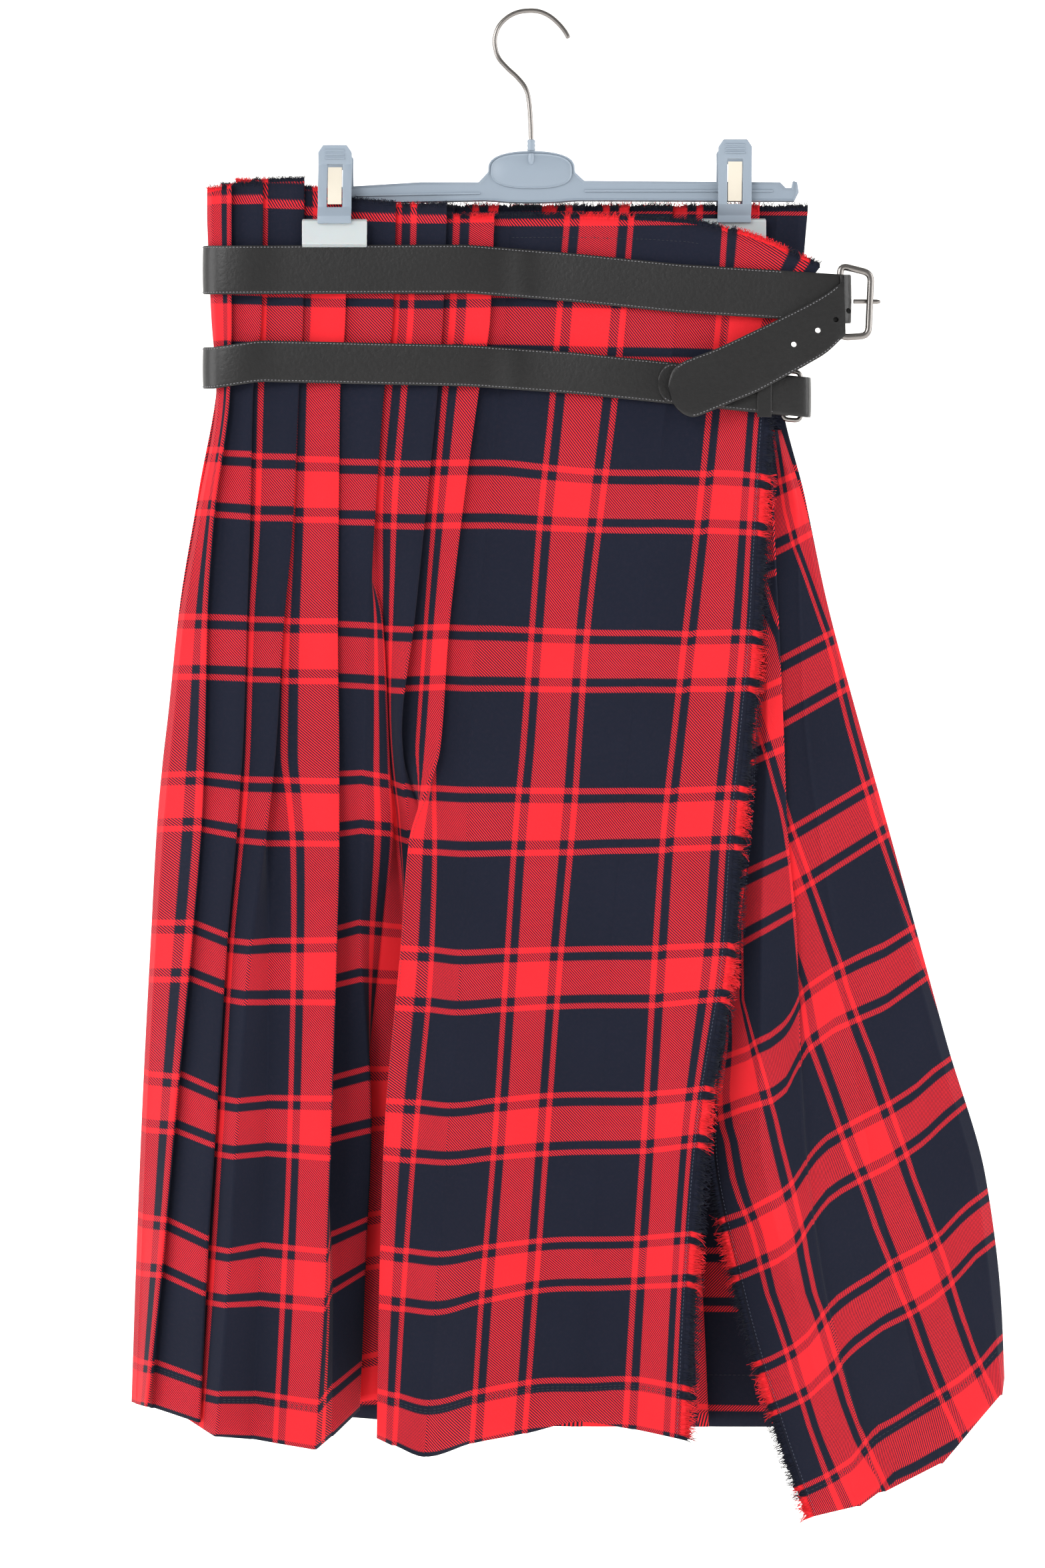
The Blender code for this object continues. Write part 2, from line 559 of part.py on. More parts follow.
def build_keeper(line, height):
    """A leather loop round the lower strap's tongue and the strap beneath it."""
    across = KEEPER_ACROSS
    drop = strap_line(line, across)
    under = strap_depth(across, drop, height)
    outer = under - STRAP_THICKNESS * 1.5 - 5 * GAP - KEEPER_THICKNESS
    inner = under + STRAP_THICKNESS / 2 + GAP
    high, low = drop - height / 2 - 3 * GAP, drop + height / 2 + 3 * GAP
    mesh_tool = bmesh.new()
    profile = [(inner, high - KEEPER_THICKNESS), (outer, high - KEEPER_THICKNESS),
               (outer, low + KEEPER_THICKNESS), (inner, low + KEEPER_THICKNESS),
               (inner, low), (outer + KEEPER_THICKNESS, low),
               (outer + KEEPER_THICKNESS, high), (inner, high)]
    ends = [[mesh_tool.verts.new(seen(x, d, y)) for y, d in profile]
            for x in (across - KEEPER_WIDTH / 2, across + KEEPER_WIDTH / 2)]
    for end in ends:
        for corners in ((0, 1, 6, 7), (1, 2, 5, 6), (2, 3, 4, 5)):
            mesh_tool.faces.new([end[c] for c in corners])
    for n in range(len(profile)):
        m = (n + 1) % len(profile)
        mesh_tool.faces.new((ends[0][n], ends[0][m], ends[1][m], ends[1][n]))
    bmesh.ops.triangulate(mesh_tool, faces=mesh_tool.faces)
    add_object("keeper_lower", mesh_tool, "strap")


def ring_prism(name, corners, thickness, key):
    """A closed rectangular frame of round-edged bar, through four corner points."""
    mesh_tool = bmesh.new()
    corners = [np.asarray(c, float) for c in corners]
    centre = sum(corners) / 4
    across = unit(corners[1] - corners[0])
    down = unit(corners[3] - corners[0])
    facing = unit(np.cross(across, down))
    rings = []
    for corner in corners:
        inward = unit(centre - corner)
        ring = []
        for n in range(6):
            angle = 2 * math.pi * n / 6
            radial = inward * math.cos(angle) * 1.25 + facing * math.sin(angle)
            ring.append(mesh_tool.verts.new(corner + radial * thickness / 2))
        rings.append(ring)
    for r in range(4):
        first, second = rings[r], rings[(r + 1) % 4]
        for n in range(6):
            m = (n + 1) % 6
            mesh_tool.faces.new((first[n], first[m], second[m], second[n]))
    return add_object(name, mesh_tool, key)


def rod(name, points, diameter, key, sides_level=2):
    """A round rod through points, as a curve with filled caps."""
    curve = bpy.data.curves.new(name, "CURVE")
    curve.dimensions = "3D"
    spline = curve.splines.new("POLY")
    spline.points.add(len(points) - 1)
    for point, place in zip(spline.points, points):
        point.co = (*[c * MM for c in place], 1)
    curve.bevel_depth = diameter / 2 * MM
    curve.bevel_resolution = sides_level
    curve.use_fill_caps = True
    curve.materials.append(material(name, key))
    item = bpy.data.objects.new(name, curve)
    bpy.context.scene.collection.objects.link(item)
    return item


def extruded(name, outline, front, back, key, rim=0.0, sink=0.0):
    """An outline of (across, drop) extruded in depth, with sunk faces inside a rim."""
    mesh_tool = bmesh.new()
    ring = [mesh_tool.verts.new((x, front, -d)) for x, d in outline]
    face = mesh_tool.faces.new(ring)
    made = bmesh.ops.extrude_face_region(mesh_tool, geom=[face])
    moved = [v for v in made["geom"] if isinstance(v, bmesh.types.BMVert)]
    bmesh.ops.translate(mesh_tool, vec=(0, back - front, 0), verts=moved)
    bmesh.ops.recalc_face_normals(mesh_tool, faces=mesh_tool.faces)
    if rim:
        caps = [f for f in mesh_tool.faces if abs(f.normal.y) > 0.9]
        for cap in caps:
            inward = -1 if cap.normal.y > 0 else 1
            bmesh.ops.inset_individual(mesh_tool, faces=[cap], thickness=rim, use_even_offset=True)
            bmesh.ops.translate(mesh_tool, vec=(0, inward * sink, 0), verts=cap.verts)
    bmesh.ops.triangulate(mesh_tool, faces=mesh_tool.faces)
    return add_object(name, mesh_tool, key)


def bar_outline():
    """The hanger's bar with its oval tab above the middle and a hooked right end."""
    outline = [(BAR_LEFT, BAR_TOP + 8), (-125, BAR_TOP + 3), (-75, BAR_TOP), (-34, BAR_TOP)]
    for n in range(9):
        angle = math.pi * (1 - n / 8)
        outline.append((TAB_MIDDLE + TAB_HALF_WIDTH * math.cos(angle),
                        TAB_TOP + TAB_RISE - TAB_RISE * math.sin(angle) ** 0.6))
    outline += [(40, BAR_TOP - 1), (BAR_RIGHT - 12, BAR_TOP), (BAR_RIGHT - 8, BAR_TOP + 4),
                (BAR_RIGHT - 4, BAR_TOP + 4), (BAR_RIGHT - 3, BAR_TOP - 1), (BAR_RIGHT, BAR_TOP),
                (BAR_RIGHT + 1, BAR_TOP + 7), (BAR_RIGHT - 2, BAR_TOP + 13), (35, BAR_TOP + 12.5)]
    for n in range(1, 6):
        angle = math.pi * n / 6
        outline.append((TAB_MIDDLE + TAB_HALF_WIDTH * math.cos(angle) * 0.85,
                        BAR_TOP + 12.5 + 1.5 * math.sin(angle)))
    outline += [(-30, BAR_TOP + 12.5), (-125, BAR_TOP + 14.6), (BAR_LEFT, BAR_TOP + 19)]
    return outline


def build_hanger():
    extruded("hanger_bar", bar_outline(), -BAR_DEPTH / 2, BAR_DEPTH / 2, "grey", rim=1.8, sink=1.4)
    collar = [(COLLAR_ACROSS, 0, -d) for d in (TAB_TOP - 8, TAB_TOP - GAP)]
    rod("hanger_collar", collar, COLLAR_DIAMETER, "grey")
    middle = [(-20, 31.5), (-22.4, 24), (-22.6, 17), (-20, 9.5), (-14.5, 3.5), (-7.5, -0.3),
              (0, -1.65), (8, -1.2), (15.5, 2), (22, 7.5), (26.5, 13), (29, 17.5)]
    stem = [(COLLAR_ACROSS, TAB_TOP - 8.3), (2.3, 75), (1.0, 60), (-1.5, 52), (-7, 45), (-14, 38.5)]
    route = []
    knots = stem + middle
    for n in range(len(knots) - 1):
        before, first = knots[max(0, n - 1)], knots[n]
        second, after = knots[n + 1], knots[min(len(knots) - 1, n + 2)]
        for t in (0.0, 0.5):
            route.append(tuple(
                0.5 * (2 * b + (c - a) * t + (2 * a - 5 * b + 4 * c - d) * t ** 2
                       + (3 * b - a - 3 * c + d) * t ** 3)
                for a, b, c, d in zip(before, first, second, after)))
    route.append(knots[-1])
    rod("hanger_hook", [(x, 0, -d) for x, d in route], WIRE_DIAMETER, "metal")


def bent_plate(name, xs, heights, depths, thickness, key, window=()):
    """A plate bent through depths at its heights, with cells of its grid left open."""
    mesh_tool = bmesh.new()
    sheets = []
    for sign in (0, 1):
        grid = []
        for row, (drop, depth) in enumerate(zip(heights, depths)):
            ease = CORNER_EASE if row == 0 and len(xs) > 2 else 0
            ends = {0: ease, len(xs) - 1: -ease}
            grid.append([mesh_tool.verts.new((x + ends.get(c, 0), depth + sign * thickness, -drop))
                         for c, x in enumerate(xs)])
        sheets.append(grid)
    near, far = sheets
    cells = {(r, c) for r in range(len(heights) - 1) for c in range(len(xs) - 1)} - set(window)
    steps = (((0, 0), (0, 1), (-1, 0)), ((0, 1), (1, 1), (0, 1)), ((1, 1), (1, 0), (1, 0)),
             ((1, 0), (0, 0), (0, -1)))
    for r, c in cells:
        for grid in sheets:
            mesh_tool.faces.new((grid[r][c], grid[r][c + 1], grid[r + 1][c + 1], grid[r + 1][c]))
        for first, second, beyond in steps:
            if (r + beyond[0], c + beyond[1]) not in cells:
                a, b = (r + first[0], c + first[1]), (r + second[0], c + second[1])
                mesh_tool.faces.new((near[a[0]][a[1]], near[b[0]][b[1]], far[b[0]][b[1]], far[a[0]][a[1]]))
    for vert in [v for v in mesh_tool.verts if not v.link_faces]:
        mesh_tool.verts.remove(vert)
    bmesh.ops.triangulate(mesh_tool, faces=mesh_tool.faces)
    add_object(name, mesh_tool, key)


def pad(name, middle, top, face, standoff, outward):
    """A clip's jaw: a plate outside the strap, with a ridge that reaches in to the cloth."""
    half = PAD_WIDTH / 2
    outer = face + outward * (standoff + PAD_THICKNESS)
    shelf = face + outward * standoff
    profile = [(face, top + 1.5), (face, top + RIDGE_HEIGHT), (shelf, top + RIDGE_HEIGHT),
               (shelf, top + PAD_HEIGHT), (outer, top + PAD_HEIGHT - 2), (outer, top + 2), (shelf, top)]
    if standoff < GAP:
        profile = [(face, top), (face, top + PAD_HEIGHT), (outer, top + PAD_HEIGHT - 2), (outer, top + 2)]
    mesh_tool = bmesh.new()
    ends = [[mesh_tool.verts.new((x, y, -d)) for y, d in profile] for x in (middle - half, middle + half)]
    for end in ends:
        mesh_tool.faces.new(end)
    for n in range(len(profile)):
        m = (n + 1) % len(profile)
        mesh_tool.faces.new((ends[0][n], ends[0][m], ends[1][m], ends[1][n]))
    bmesh.ops.triangulate(mesh_tool, faces=mesh_tool.faces)
    add_object(name, mesh_tool, "pad")


def build_clip(side, middle, top, jaws, lever_front, lever_back):
    """jaws: (front face, front standoff, back face, back standoff). Levers: depths at six heights."""
    front_face, front_standoff, back_face, back_standoff = jaws
    bottom = top + LEVER_HEIGHT
    pad_top = bottom - 4
    front_outer = front_face - front_standoff - PAD_THICKNESS - GAP - LEVER_THICKNESS
    back_outer = back_face + back_standoff + PAD_THICKNESS + GAP
    heights = (top, top + 5, top + 13, top + 30, bottom - 12, bottom - 5, bottom)
    half = CLIP_WIDTH / 2
    xs = (middle - half, middle - WINDOW_HALF, middle + WINDOW_HALF, middle + half)
    window = ((2, 1), (3, 1))
    front = (*lever_front, front_outer, front_outer)
    back = (*lever_back, back_outer, back_outer)
    bent_plate("clip_%s_front" % side, xs, heights, front, LEVER_THICKNESS, "grey", window)
    bent_plate("clip_%s_back" % side, xs, heights, back, LEVER_THICKNESS, "grey", window)
    pad("clip_%s_front_pad" % side, middle, pad_top, front_face, front_standoff, -1)
    pad("clip_%s_back_pad" % side, middle, pad_top, back_face, back_standoff, 1)
    spring_xs = (middle - WINDOW_HALF + 0.5, middle + WINDOW_HALF - 0.5)
    spring_heights = (top + 15, top + 30, bottom - 14)
    spring = (front[2] - 0.5, front[3] + 0.4, front[4] + 0.4)
    bent_plate("clip_%s_spring" % side, spring_xs, spring_heights, spring, 1.2, "beige")


def fringe(name, edge, outward, count, length, clear=0.5):
    """Threads on a narrow strip beside a cloth edge. They are fused only at their roots.

    edge is a list of 3-D points, and outward gives the threads' direction at each.
    """
    edge = [np.asarray(p, float) for p in edge]
    reach = np.concatenate([[0], np.cumsum([np.linalg.norm(b - a) for a, b in zip(edge, edge[1:])])])
    mesh_tool = bmesh.new()
    stations = []
    for n in range(count + 1):
        at = reach[-1] * n / count
        point = np.array([np.interp(at, reach, [p[k] for p in edge]) for k in range(3)])
        way = unit(np.array([np.interp(at, reach, [o[k] for o in outward]) for k in range(3)]))
        along = unit(np.array([np.interp(min(at + 1, reach[-1]), reach, [p[k] for p in edge])
                               - np.interp(max(at - 1, 0), reach, [p[k] for p in edge])
                               for k in range(3)]))
        facing = unit(np.cross(way, along))
        stations.append((point, way, facing, along))
    rings = []
    for point, way, facing, along in stations:
        inner = point + way * clear
        outer = inner + way * FRINGE_STRIP
        rings.append([mesh_tool.verts.new(p + facing * s * FRINGE_THICKNESS / 2)
                      for p in (inner, outer) for s in (1, -1)])
    for first, second in zip(rings, rings[1:]):
        a, b, c, d = first
        e, f, g, h = second
        mesh_tool.faces.new((a, b, f, e))
        mesh_tool.faces.new((a, e, g, c))
        mesh_tool.faces.new((b, d, h, f))
    mesh_tool.faces.new(rings[0][:2] + [rings[0][3], rings[0][2]])
    mesh_tool.faces.new(rings[-1][:2] + [rings[-1][3], rings[-1][2]])
    for n, (first, second) in enumerate(zip(rings, rings[1:])):
        roots = (first[2], second[2], second[3], first[3])
        middle = sum((np.array(v.co) for v in roots), np.zeros(3)) / 4
        way, facing, along = stations[n][1], stations[n][2], stations[n][3]
        sway = 0.16 * math.sin(2.4 * n) * way.dot(way)
        long = length * (0.86 + 0.14 * math.sin(1.7 * n + 0.6))
        tip = middle + unit(way + along * sway) * long + facing * 0.4 * math.sin(1.1 * n)
        tip_vert = mesh_tool.verts.new(tip)
        for m in range(4):
            mesh_tool.faces.new((roots[m], roots[(m + 1) % 4], tip_vert))
    bmesh.ops.triangulate(mesh_tool, faces=mesh_tool.faces)
    add_object(name, mesh_tool, "fringe", smooth_angle=20)


def build_fringes():
    apron_edge = [front_point(APRON_FOLDS["A0"], share) for share in row_shares()][4:]
    right = [np.array((1.0, 0.0, -0.1))] * len(apron_edge)
    fringe("fringe_over_apron", apron_edge, right, APRON_STRANDS, FRINGE_LENGTH)
    under_edge = []
    for share in row_shares(UNDER_ROWS)[2:]:
        hem, across, depth = UNDER_FOLDS["F0"]
        drop = UNDER_TOP_DROP + (hem - UNDER_TOP_DROP) * share
        level = UNDER_TOP_DROP + (UNDER_LEVELS[-1] - UNDER_TOP_DROP) * share
        under_edge.append(seen(smooth_value(UNDER_LEVELS, across, level), drop,
                               smooth_value(UNDER_LEVELS, depth, level)))
    left = [np.array((-1.0, 0.0, -0.15))] * len(under_edge)
    fringe("fringe_under_apron", under_edge, left, UNDER_STRANDS, FRINGE_LENGTH * 0.85)
    up = np.array((0.0, 0.0, 1.0))
    waist_back = [back_point(0.30 + 0.06 * n, LEVELS[0], 3, 0) for n in range(12)]
    fringe("fringe_waist_back", waist_back, [up] * 12, WAIST_BACK_STRANDS, WAIST_FRINGE_LENGTH, 1.2)
    waist_front = [front_point(APRON_FOLDS[name], 0) for name in ("A0", "A1", "A2", "A3", "A4", "A5")]
    fringe("fringe_waist_front", waist_front, [up] * 6, WAIST_FRONT_STRANDS, WAIST_FRINGE_LENGTH * 0.6,
           1.2)


clear_scene()
build_front()
build_back()
build_under_apron()
build_upper_strap()
build_lower_strap()
build_hanger()
build_clip("left", -134, 95, (-12.4, 3.4, 11.9, 3.4), (-13.4, -12.9, -10.4, -16.4, -17.6),
           (11, 10.5, 8, 13, 14.5))
build_clip("right", 145, 91, (4.1, 0.0, 11.9, 3.4), (-13.4, -12.9, -10.4, -9, -7.5),
           (11, 10.5, 8, 13, 14.5))
build_fringes()
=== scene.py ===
"""A long tartan wrap kilt on a clip hanger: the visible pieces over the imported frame.

Tables are in millimetres and repeat the part's own. "across" is a place left or right of
the hook, "drop" is a distance below its inside top, and "depth" is toward the wall. Cloth
coordinates u and v are also in millimetres: u along the cloth from the apron's free edge,
v down the cloth. The tartan, the twill and the fringe's colours are worked out from them.
"""
import math
import random

import bmesh
import bpy
import numpy as np
from mathutils import Matrix, Vector, noise


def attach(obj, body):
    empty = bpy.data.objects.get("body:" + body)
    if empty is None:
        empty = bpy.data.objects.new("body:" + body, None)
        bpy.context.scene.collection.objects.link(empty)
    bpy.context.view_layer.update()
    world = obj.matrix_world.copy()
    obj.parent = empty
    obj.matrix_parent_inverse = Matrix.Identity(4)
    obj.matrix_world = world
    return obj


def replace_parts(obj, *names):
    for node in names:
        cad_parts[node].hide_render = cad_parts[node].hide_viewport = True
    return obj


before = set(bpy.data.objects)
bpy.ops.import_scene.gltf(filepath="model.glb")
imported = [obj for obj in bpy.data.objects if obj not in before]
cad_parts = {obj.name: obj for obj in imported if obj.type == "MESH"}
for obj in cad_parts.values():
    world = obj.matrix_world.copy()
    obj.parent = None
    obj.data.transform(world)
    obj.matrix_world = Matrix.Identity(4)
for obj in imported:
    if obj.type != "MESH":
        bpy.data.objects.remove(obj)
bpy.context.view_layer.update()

MM = 0.001
GAP = 0.3
VIEW_DISTANCE = 2200.0
VIEW_ACROSS = -3.3
VIEW_DROP = 540.0
FRAME_HEIGHT = 1098.4

CLOTH_THICKNESS = 0.8
CLOTH_WALL = 1.2
LAYER_PITCH = 1.8
CREASE_WIDTH = 2.4
FULLY_OPEN = 1.9

STRAP_THICKNESS = 2.4
UPPER_STRAP_HEIGHT = 34.0
LOWER_STRAP_HEIGHT = 29.0
BUCKLE_BAR = 4.7
LOWER_BUCKLE_BAR = 3.2

LEVELS = (145, 215, 266, 355, 434, 514, 544, 579, 654, 785, 892, 995)
FRONT_DEPTH = (-5.5, -5.7, -7.5, -12, -18, -24, -26, -29, -35, -45, -53, -58)
BACK_DEPTH = (5, 5.2, 6.5, 10, 14, 18, 19, 20, 24, 28, 30, 32)

# Fold lines of the front, in order along the cloth from the apron's free edge.
# name: (u, top drop, hem drop, across at each level, depth beyond FRONT_DEPTH at each level)
APRON_FOLDS = {
    "A0": (0, 178, 999, (230, 182, 168, 162, 158, 151, 148, 145, 140, 120, 112, 107),
           (-20, -15, -12, -9, -6, -6, -6, -6, -6, -8, -10, -12)),
    "A1": (42, 154, 992, (144, 139, 134, 125, 116, 107, 103.5, 100, 95, 87, 80, 74),
           (-13, -10, -7, -3, -3, -4, -4, -4, -3, -3, -4, -5)),
    "A2": (78, 147, 987, (108, 104, 98, 88, 79, 72, 69, 66, 59, 52, 44, 37),
           (-9, -8, -7, -6, -5, -4, -4, -4, -2, 2, 6, 8)),
    "A3": (115, 145, 995, (73, 67, 62, 51, 42, 36, 34, 31, 24, 14, 6, -2),
           (-5, -5, -5, -5, -6, -6, -6, -6, -4, 0, 3, 5)),
    "A4": (155, 144, 1002, (28, 22, 18, 9, 3, -3, -6, -9, -14, -23, -32, -39),
           (-1, -1, -1, -2, -3, -4, -4, -5, -6, -8, -8, -6)),
    "A5": (190, 144, 1011, (-12, -16, -20, -28, -36, -40, -41, -42, -46, -56, -64, -71),
           (0, 0, 0, 0, -1, -2, -3, -6, -12, -20, -25, -28)),
    "I7": (224.5, 144, 1003, (-40, -42.5, -50, -57, -63, -66, -66.5, -66, -68, -80, -88, -94),
           (-0.5, -0.5, -0.5, -0.5, 0, 0, -3.5, -8, -13, -20, -24, -26)),
}
PLEAT_FOLDS = {
    "E7": (240, 144, 998, (-24, -27, -35, -47, -56, -62, -71, -82, -88, -99.5, -103, -104.6),
           (-5, -5, -5, -5, -5, -6, -8, -10, -12, -16, -17, -18)),
    "I6": (288, 144, 985, (-77, -80, -82, -85, -88, -93, -81, -70.5, -68, -70.5, -74, -77),
           (-0.5, -0.5, -0.5, 1, 3, 7, 5, 3, 4, 2, 0, -2)),
    "E6": (309, 136, 971, (-57.4, -60, -63.5, -72, -80, -89, -87, -83.6, -83.6, -89, -93, -95),
           (-5.8, -5.8, -5.8, -5.6, -5, -4, 2, 10, 16, 22, 26, 28)),
    "J5": (345, 136, 971, (-94, -96, -101, -107, -105, -99.5, -97, -93, -87, -95, -99.5, -102),
           (-2, -2, -2, 0, 6, 9, 10, 14, 20, 24, 27, 29)),
    "I5": (362, 136, 974, (-111.6, -113.5, -119, -119.5, -102, -98, -97, -95, -101, -113.5, -117, -121),
           (-0.5, -0.5, -0.5, 1, 1, 3, 5, 8, 16, 26, 29, 30)),
    "E5": (380, 135, 979, (-93, -95, -101, -107.4, -111.6, -114, -115, -115, -117, -110, -114, -118),
           (-5, -5, -5, -5, -3, -2, -2, 0, 4, 10, 14, 18)),
    "I4": (429, 130, 997, (-144, -146.6, -150, -151, -151, -148.5, -147, -146, -144, -140.6, -136, -137),
           (-0.5, -0.5, -0.5, 0, 1, 3, 4, 6, 8, 6, -2, -10)),
    "E4": (447, 128, 1006, (-127, -128.4, -132, -133, -133.6, -132.6, -132.6, -132.6, -134.5, -138.7,
                            -142.4, -149),
           (-5, -5, -5, -5.5, -6, -7, -8, -9, -13, -20, -26, -30)),
    "I3": (498, 120, 999, (-176, -178, -180, -183.5, -189, -192, -187, -182.6, -181, -183, -188, -193),
           (-0.5, -0.5, -0.3, 0.8, 1.2, 2.5, 2.5, 1.5, -2, -8, -12, -14)),
    "E3": (520, 118, 997, (-157, -158, -161, -165, -172, -177, -180, -184.5, -194, -203.6, -209.7,
                           -217.6),
           (-5, -5, -5, -5, -5, -6, -7, -8, -12, -18, -22, -25)),
    "I2": (566, 119, 980, (-203, -204, -205, -206, -209, -212, -213, -215, -222, -232, -240, -246),
           (-0.5, -0.5, -0.3, 0, 0.3, 0.8, 1, 1.5, 3.5, 7, 10, 12)),
    "E2": (590, 121, 987, (-186, -187, -193, -195, -197.5, -200, -202, -204.5, -211, -219, -225.5,
                           -230),
           (-5, -5, -5, -5, -5, -5.5, -6, -7, -9, -12, -14, -15)),
    "I1": (622, 122, 977, (-213, -213, -213, -222, -228, -230, -231, -232, -237, -248, -257, -262),
           (-2.5, -2.5, -2, 0, 0, 1, 1, 1, 2, 5, 7, 7)),
    "E1": (653, 123, 976, (-208, -208, -209, -220, -225, -226.5, -227.5, -229, -235, -247, -256, -266),
           (-7.5, -7.5, -7.5, -6, -5, -4, -4, -4, -4, -2, 0, 2)),
    "S1": (673, 125, 974, (-220.5, -218, -215.5, -228, -240, -248, -251, -254, -259, -266, -270, -274),
           (-4, -4, -3, 1, 4, 8, 9, 10, 14, 22, 30, 34)),
    "S0": (683, 126, 973, (-224, -221, -217.5, -231, -244, -252.5, -256, -259, -263, -269.5, -273.7,
                           -277),
           (2.2, 2.7, 5.6, 11, 16, 21, 23, 25, 30, 39, 46, 50)),
}
FRONT_FOLDS = {**APRON_FOLDS, **PLEAT_FOLDS}

# Where the weft's stripes cross the fold lines: v on the cloth, and the drop it hangs at.
WEFT_V = (-101, -61, 7, 47, 115, 155, 223, 263, 331, 371, 439, 479, 547, 587, 655, 695, 763, 798)
WEFT_DROPS = {
    "A0": (62, 146, 203, 246, 325, 364, 434, 473, 543, 584, 653, 691, 753, 793, 855, 890, 963, 999),
    "A1": (62, 146, 200, 244, 323, 363, 435, 474, 545, 586, 655, 695, 757, 797, 858, 892, 957, 992),
    "A3": (64, 148, 198, 243, 322, 362, 434, 474, 545, 588, 656, 696, 758, 799, 860, 895, 959, 995),
    "A5": (64, 148, 197, 241, 315, 359, 431, 473, 544, 589, 658, 700, 765, 805, 869, 910, 973, 1011),
    "I7": (63, 147, 197, 240, 315, 359, 430, 472, 543, 588, 656, 698, 763, 804, 867, 908, 968, 1003),
    "E7": (62, 146, 198, 240, 315, 359, 430, 472, 543, 587, 655, 697, 762, 802, 865, 906, 965, 998),
    "E6": (62, 146, 199, 241, 316, 360, 432, 475, 542, 580, 642, 680, 740, 780, 837, 875, 935, 971),
    "E5": (61, 145, 198, 240, 315, 357, 429, 472, 532, 573, 637, 677, 739, 783, 845, 882, 946, 979),
    "I4": (60, 144, 197, 239, 314, 356, 427, 470, 533, 577, 644, 683, 747, 790, 855, 895, 962, 997),
    "E4": (58, 142, 198, 240, 313, 355, 426, 468, 538, 582, 649, 693, 760, 802, 867, 908, 973, 1006),
    "I3": (55, 139, 197, 239, 312, 355, 426, 468, 537, 582, 650, 693, 760, 799, 863, 904, 967, 999),
    "E3": (52, 136, 197, 239, 311, 354, 425, 467, 537, 581, 651, 693, 762, 801, 867, 905, 967, 998),
    "E2": (48, 132, 196, 239, 309, 353, 424, 466, 536, 576, 646, 685, 754, 793, 858, 897, 956, 987),
    "I1": (48, 132, 195, 238, 308, 351, 423, 465, 533, 571, 636, 675, 742, 782, 844, 883, 945, 977),
    "E1": (48, 132, 195, 238, 306, 350, 423, 465, 533, 571, 637, 677, 745, 784, 845, 884, 946, 976),
    "S0": (49, 133, 195, 238, 306, 350, 423, 465, 534, 572, 637, 677, 741, 781, 841, 882, 942, 973),
}

RIGHT_SIDE = (196.6, 190, 177, 195, 210.6, 228, 235, 245, 263, 294, 321, 332)
RIGHT_SIDE_DEPTH = (4, 4, 4, 2, 2, 2, 2, 2, 3, 4, 4, 4)
BACK_PLEATS = 12
BACK_TOP_DROP = 139.0
BACK_LEFT_HEM_DROP = 973.0
BACK_MIDDLE_HEM_DROP = 990.0
BACK_RIGHT_HEM_DROP = 956.0
BACK_OVERLAP = (20, 20, 18, 15, 13, 12, 11, 10, 9, 8, 7, 6)
BACK_EDGE_RISE = (5, 5, 5, 5.5, 6, 7, 7, 8, 9, 11, 12, 13)
BACK_INNER_RISE = (1, 1, 1, 1, 0.5, 0, 0, -0.5, -1, -2, -3, -4)
BACK_PLEAT_CLOTH = 72.0
# How much lower the back's cloth hangs by its threads on the right half.
BACK_SHIFT = 28.0

# The free end turned forward at the right, from its frayed edge to the outline.
# name: (u, hem drop, across at each level, depth at each level)
UNDER_TOP_DROP = 292.0
UNDER_LEVELS = (292, 355, 434, 514, 579, 654, 785, 892, 995, 1053)
UNDER_FOLDS = {
    "F0": (0, 1053, (164, 165, 164, 160, 156, 147, 130.5, 150, 180, 201),
           (-4, -5, -8, -12, -15, -18, -26, -34, -40, -42)),
    "F1": (32, 1046, (167, 168, 168, 168, 166, 164, 163, 184, 213, 232),
           (-4.2, -5.8, -10, -14.5, -18, -24, -36, -46, -54, -57)),
    "F2": (48, 1036, (170, 172, 175.5, 179, 181.5, 188, 192, 204, 228, 247),
           (-4, -5.4, -8, -10, -12, -16, -28, -38, -47, -50)),
    "F3": (92, 1016, (173, 189, 191, 195, 203, 214, 233, 253, 275, 290),
           (-3.2, -4.4, -6, -7, -9, -11, -15, -20, -26, -30)),
    "F4": (150, 968, (175.5, 192, 207, 224, 240, 257, 289, 315, 327, 332),
           (-1, -2, -3, -3, -3.5, -4, -5, -6, -7, -8)),
    "F5": (160, 956, (177.6, 195, 210.6, 229.2, 245, 263, 294, 321, 332, 334),
           (3.1, 1.1, 1.1, 1.1, 1.1, 2.1, 3.1, 3.1, 3.1, 3.1)),
}

UPPER_STRAP_LINE = ((-223, 180), (-42, 179.3), (33, 185.4), (107, 192.9), (173, 197), (222, 200.3))
LOWER_STRAP_LINE = ((-220, 248.6), (-188, 243.8), (-42, 247), (33, 252.2), (96, 258.7), (197, 269.2))
STRAP_CLEARANCE = 1.2
STRAP_TURN_START = -212.0
STRAP_TURN_REACH = 14.2
UPPER_BAR = 219.3
UPPER_BACK_END = 186.0
LOWER_BAR = 179.0
LOWER_OUTER_BAR = 191.5
LOWER_BACK_END = 172.0
# (top edge across, top edge drop, bottom edge across, bottom edge drop)
UPPER_TONGUE = (
    (220.9, 188, 222.3, 226), (210.6, 196.1, 210.6, 237.2), (196, 204.5, 199, 244.5),
    (173.3, 215.8, 183, 253.5), (150, 227, 161.6, 265.3), (131, 235.8, 144, 272.5),
    (112, 243, 127, 279.5), (103.5, 248.5, 116.5, 283), (100, 255, 108, 280), (98.8, 261, 102, 273.5),
)
TONGUE_DEPTH = -30.5
TONGUE_HOLES = ((186.8, 232.1), (203.6, 222.3), (216.2, 214.8), (225.6, 208.0))


# Camera and room.

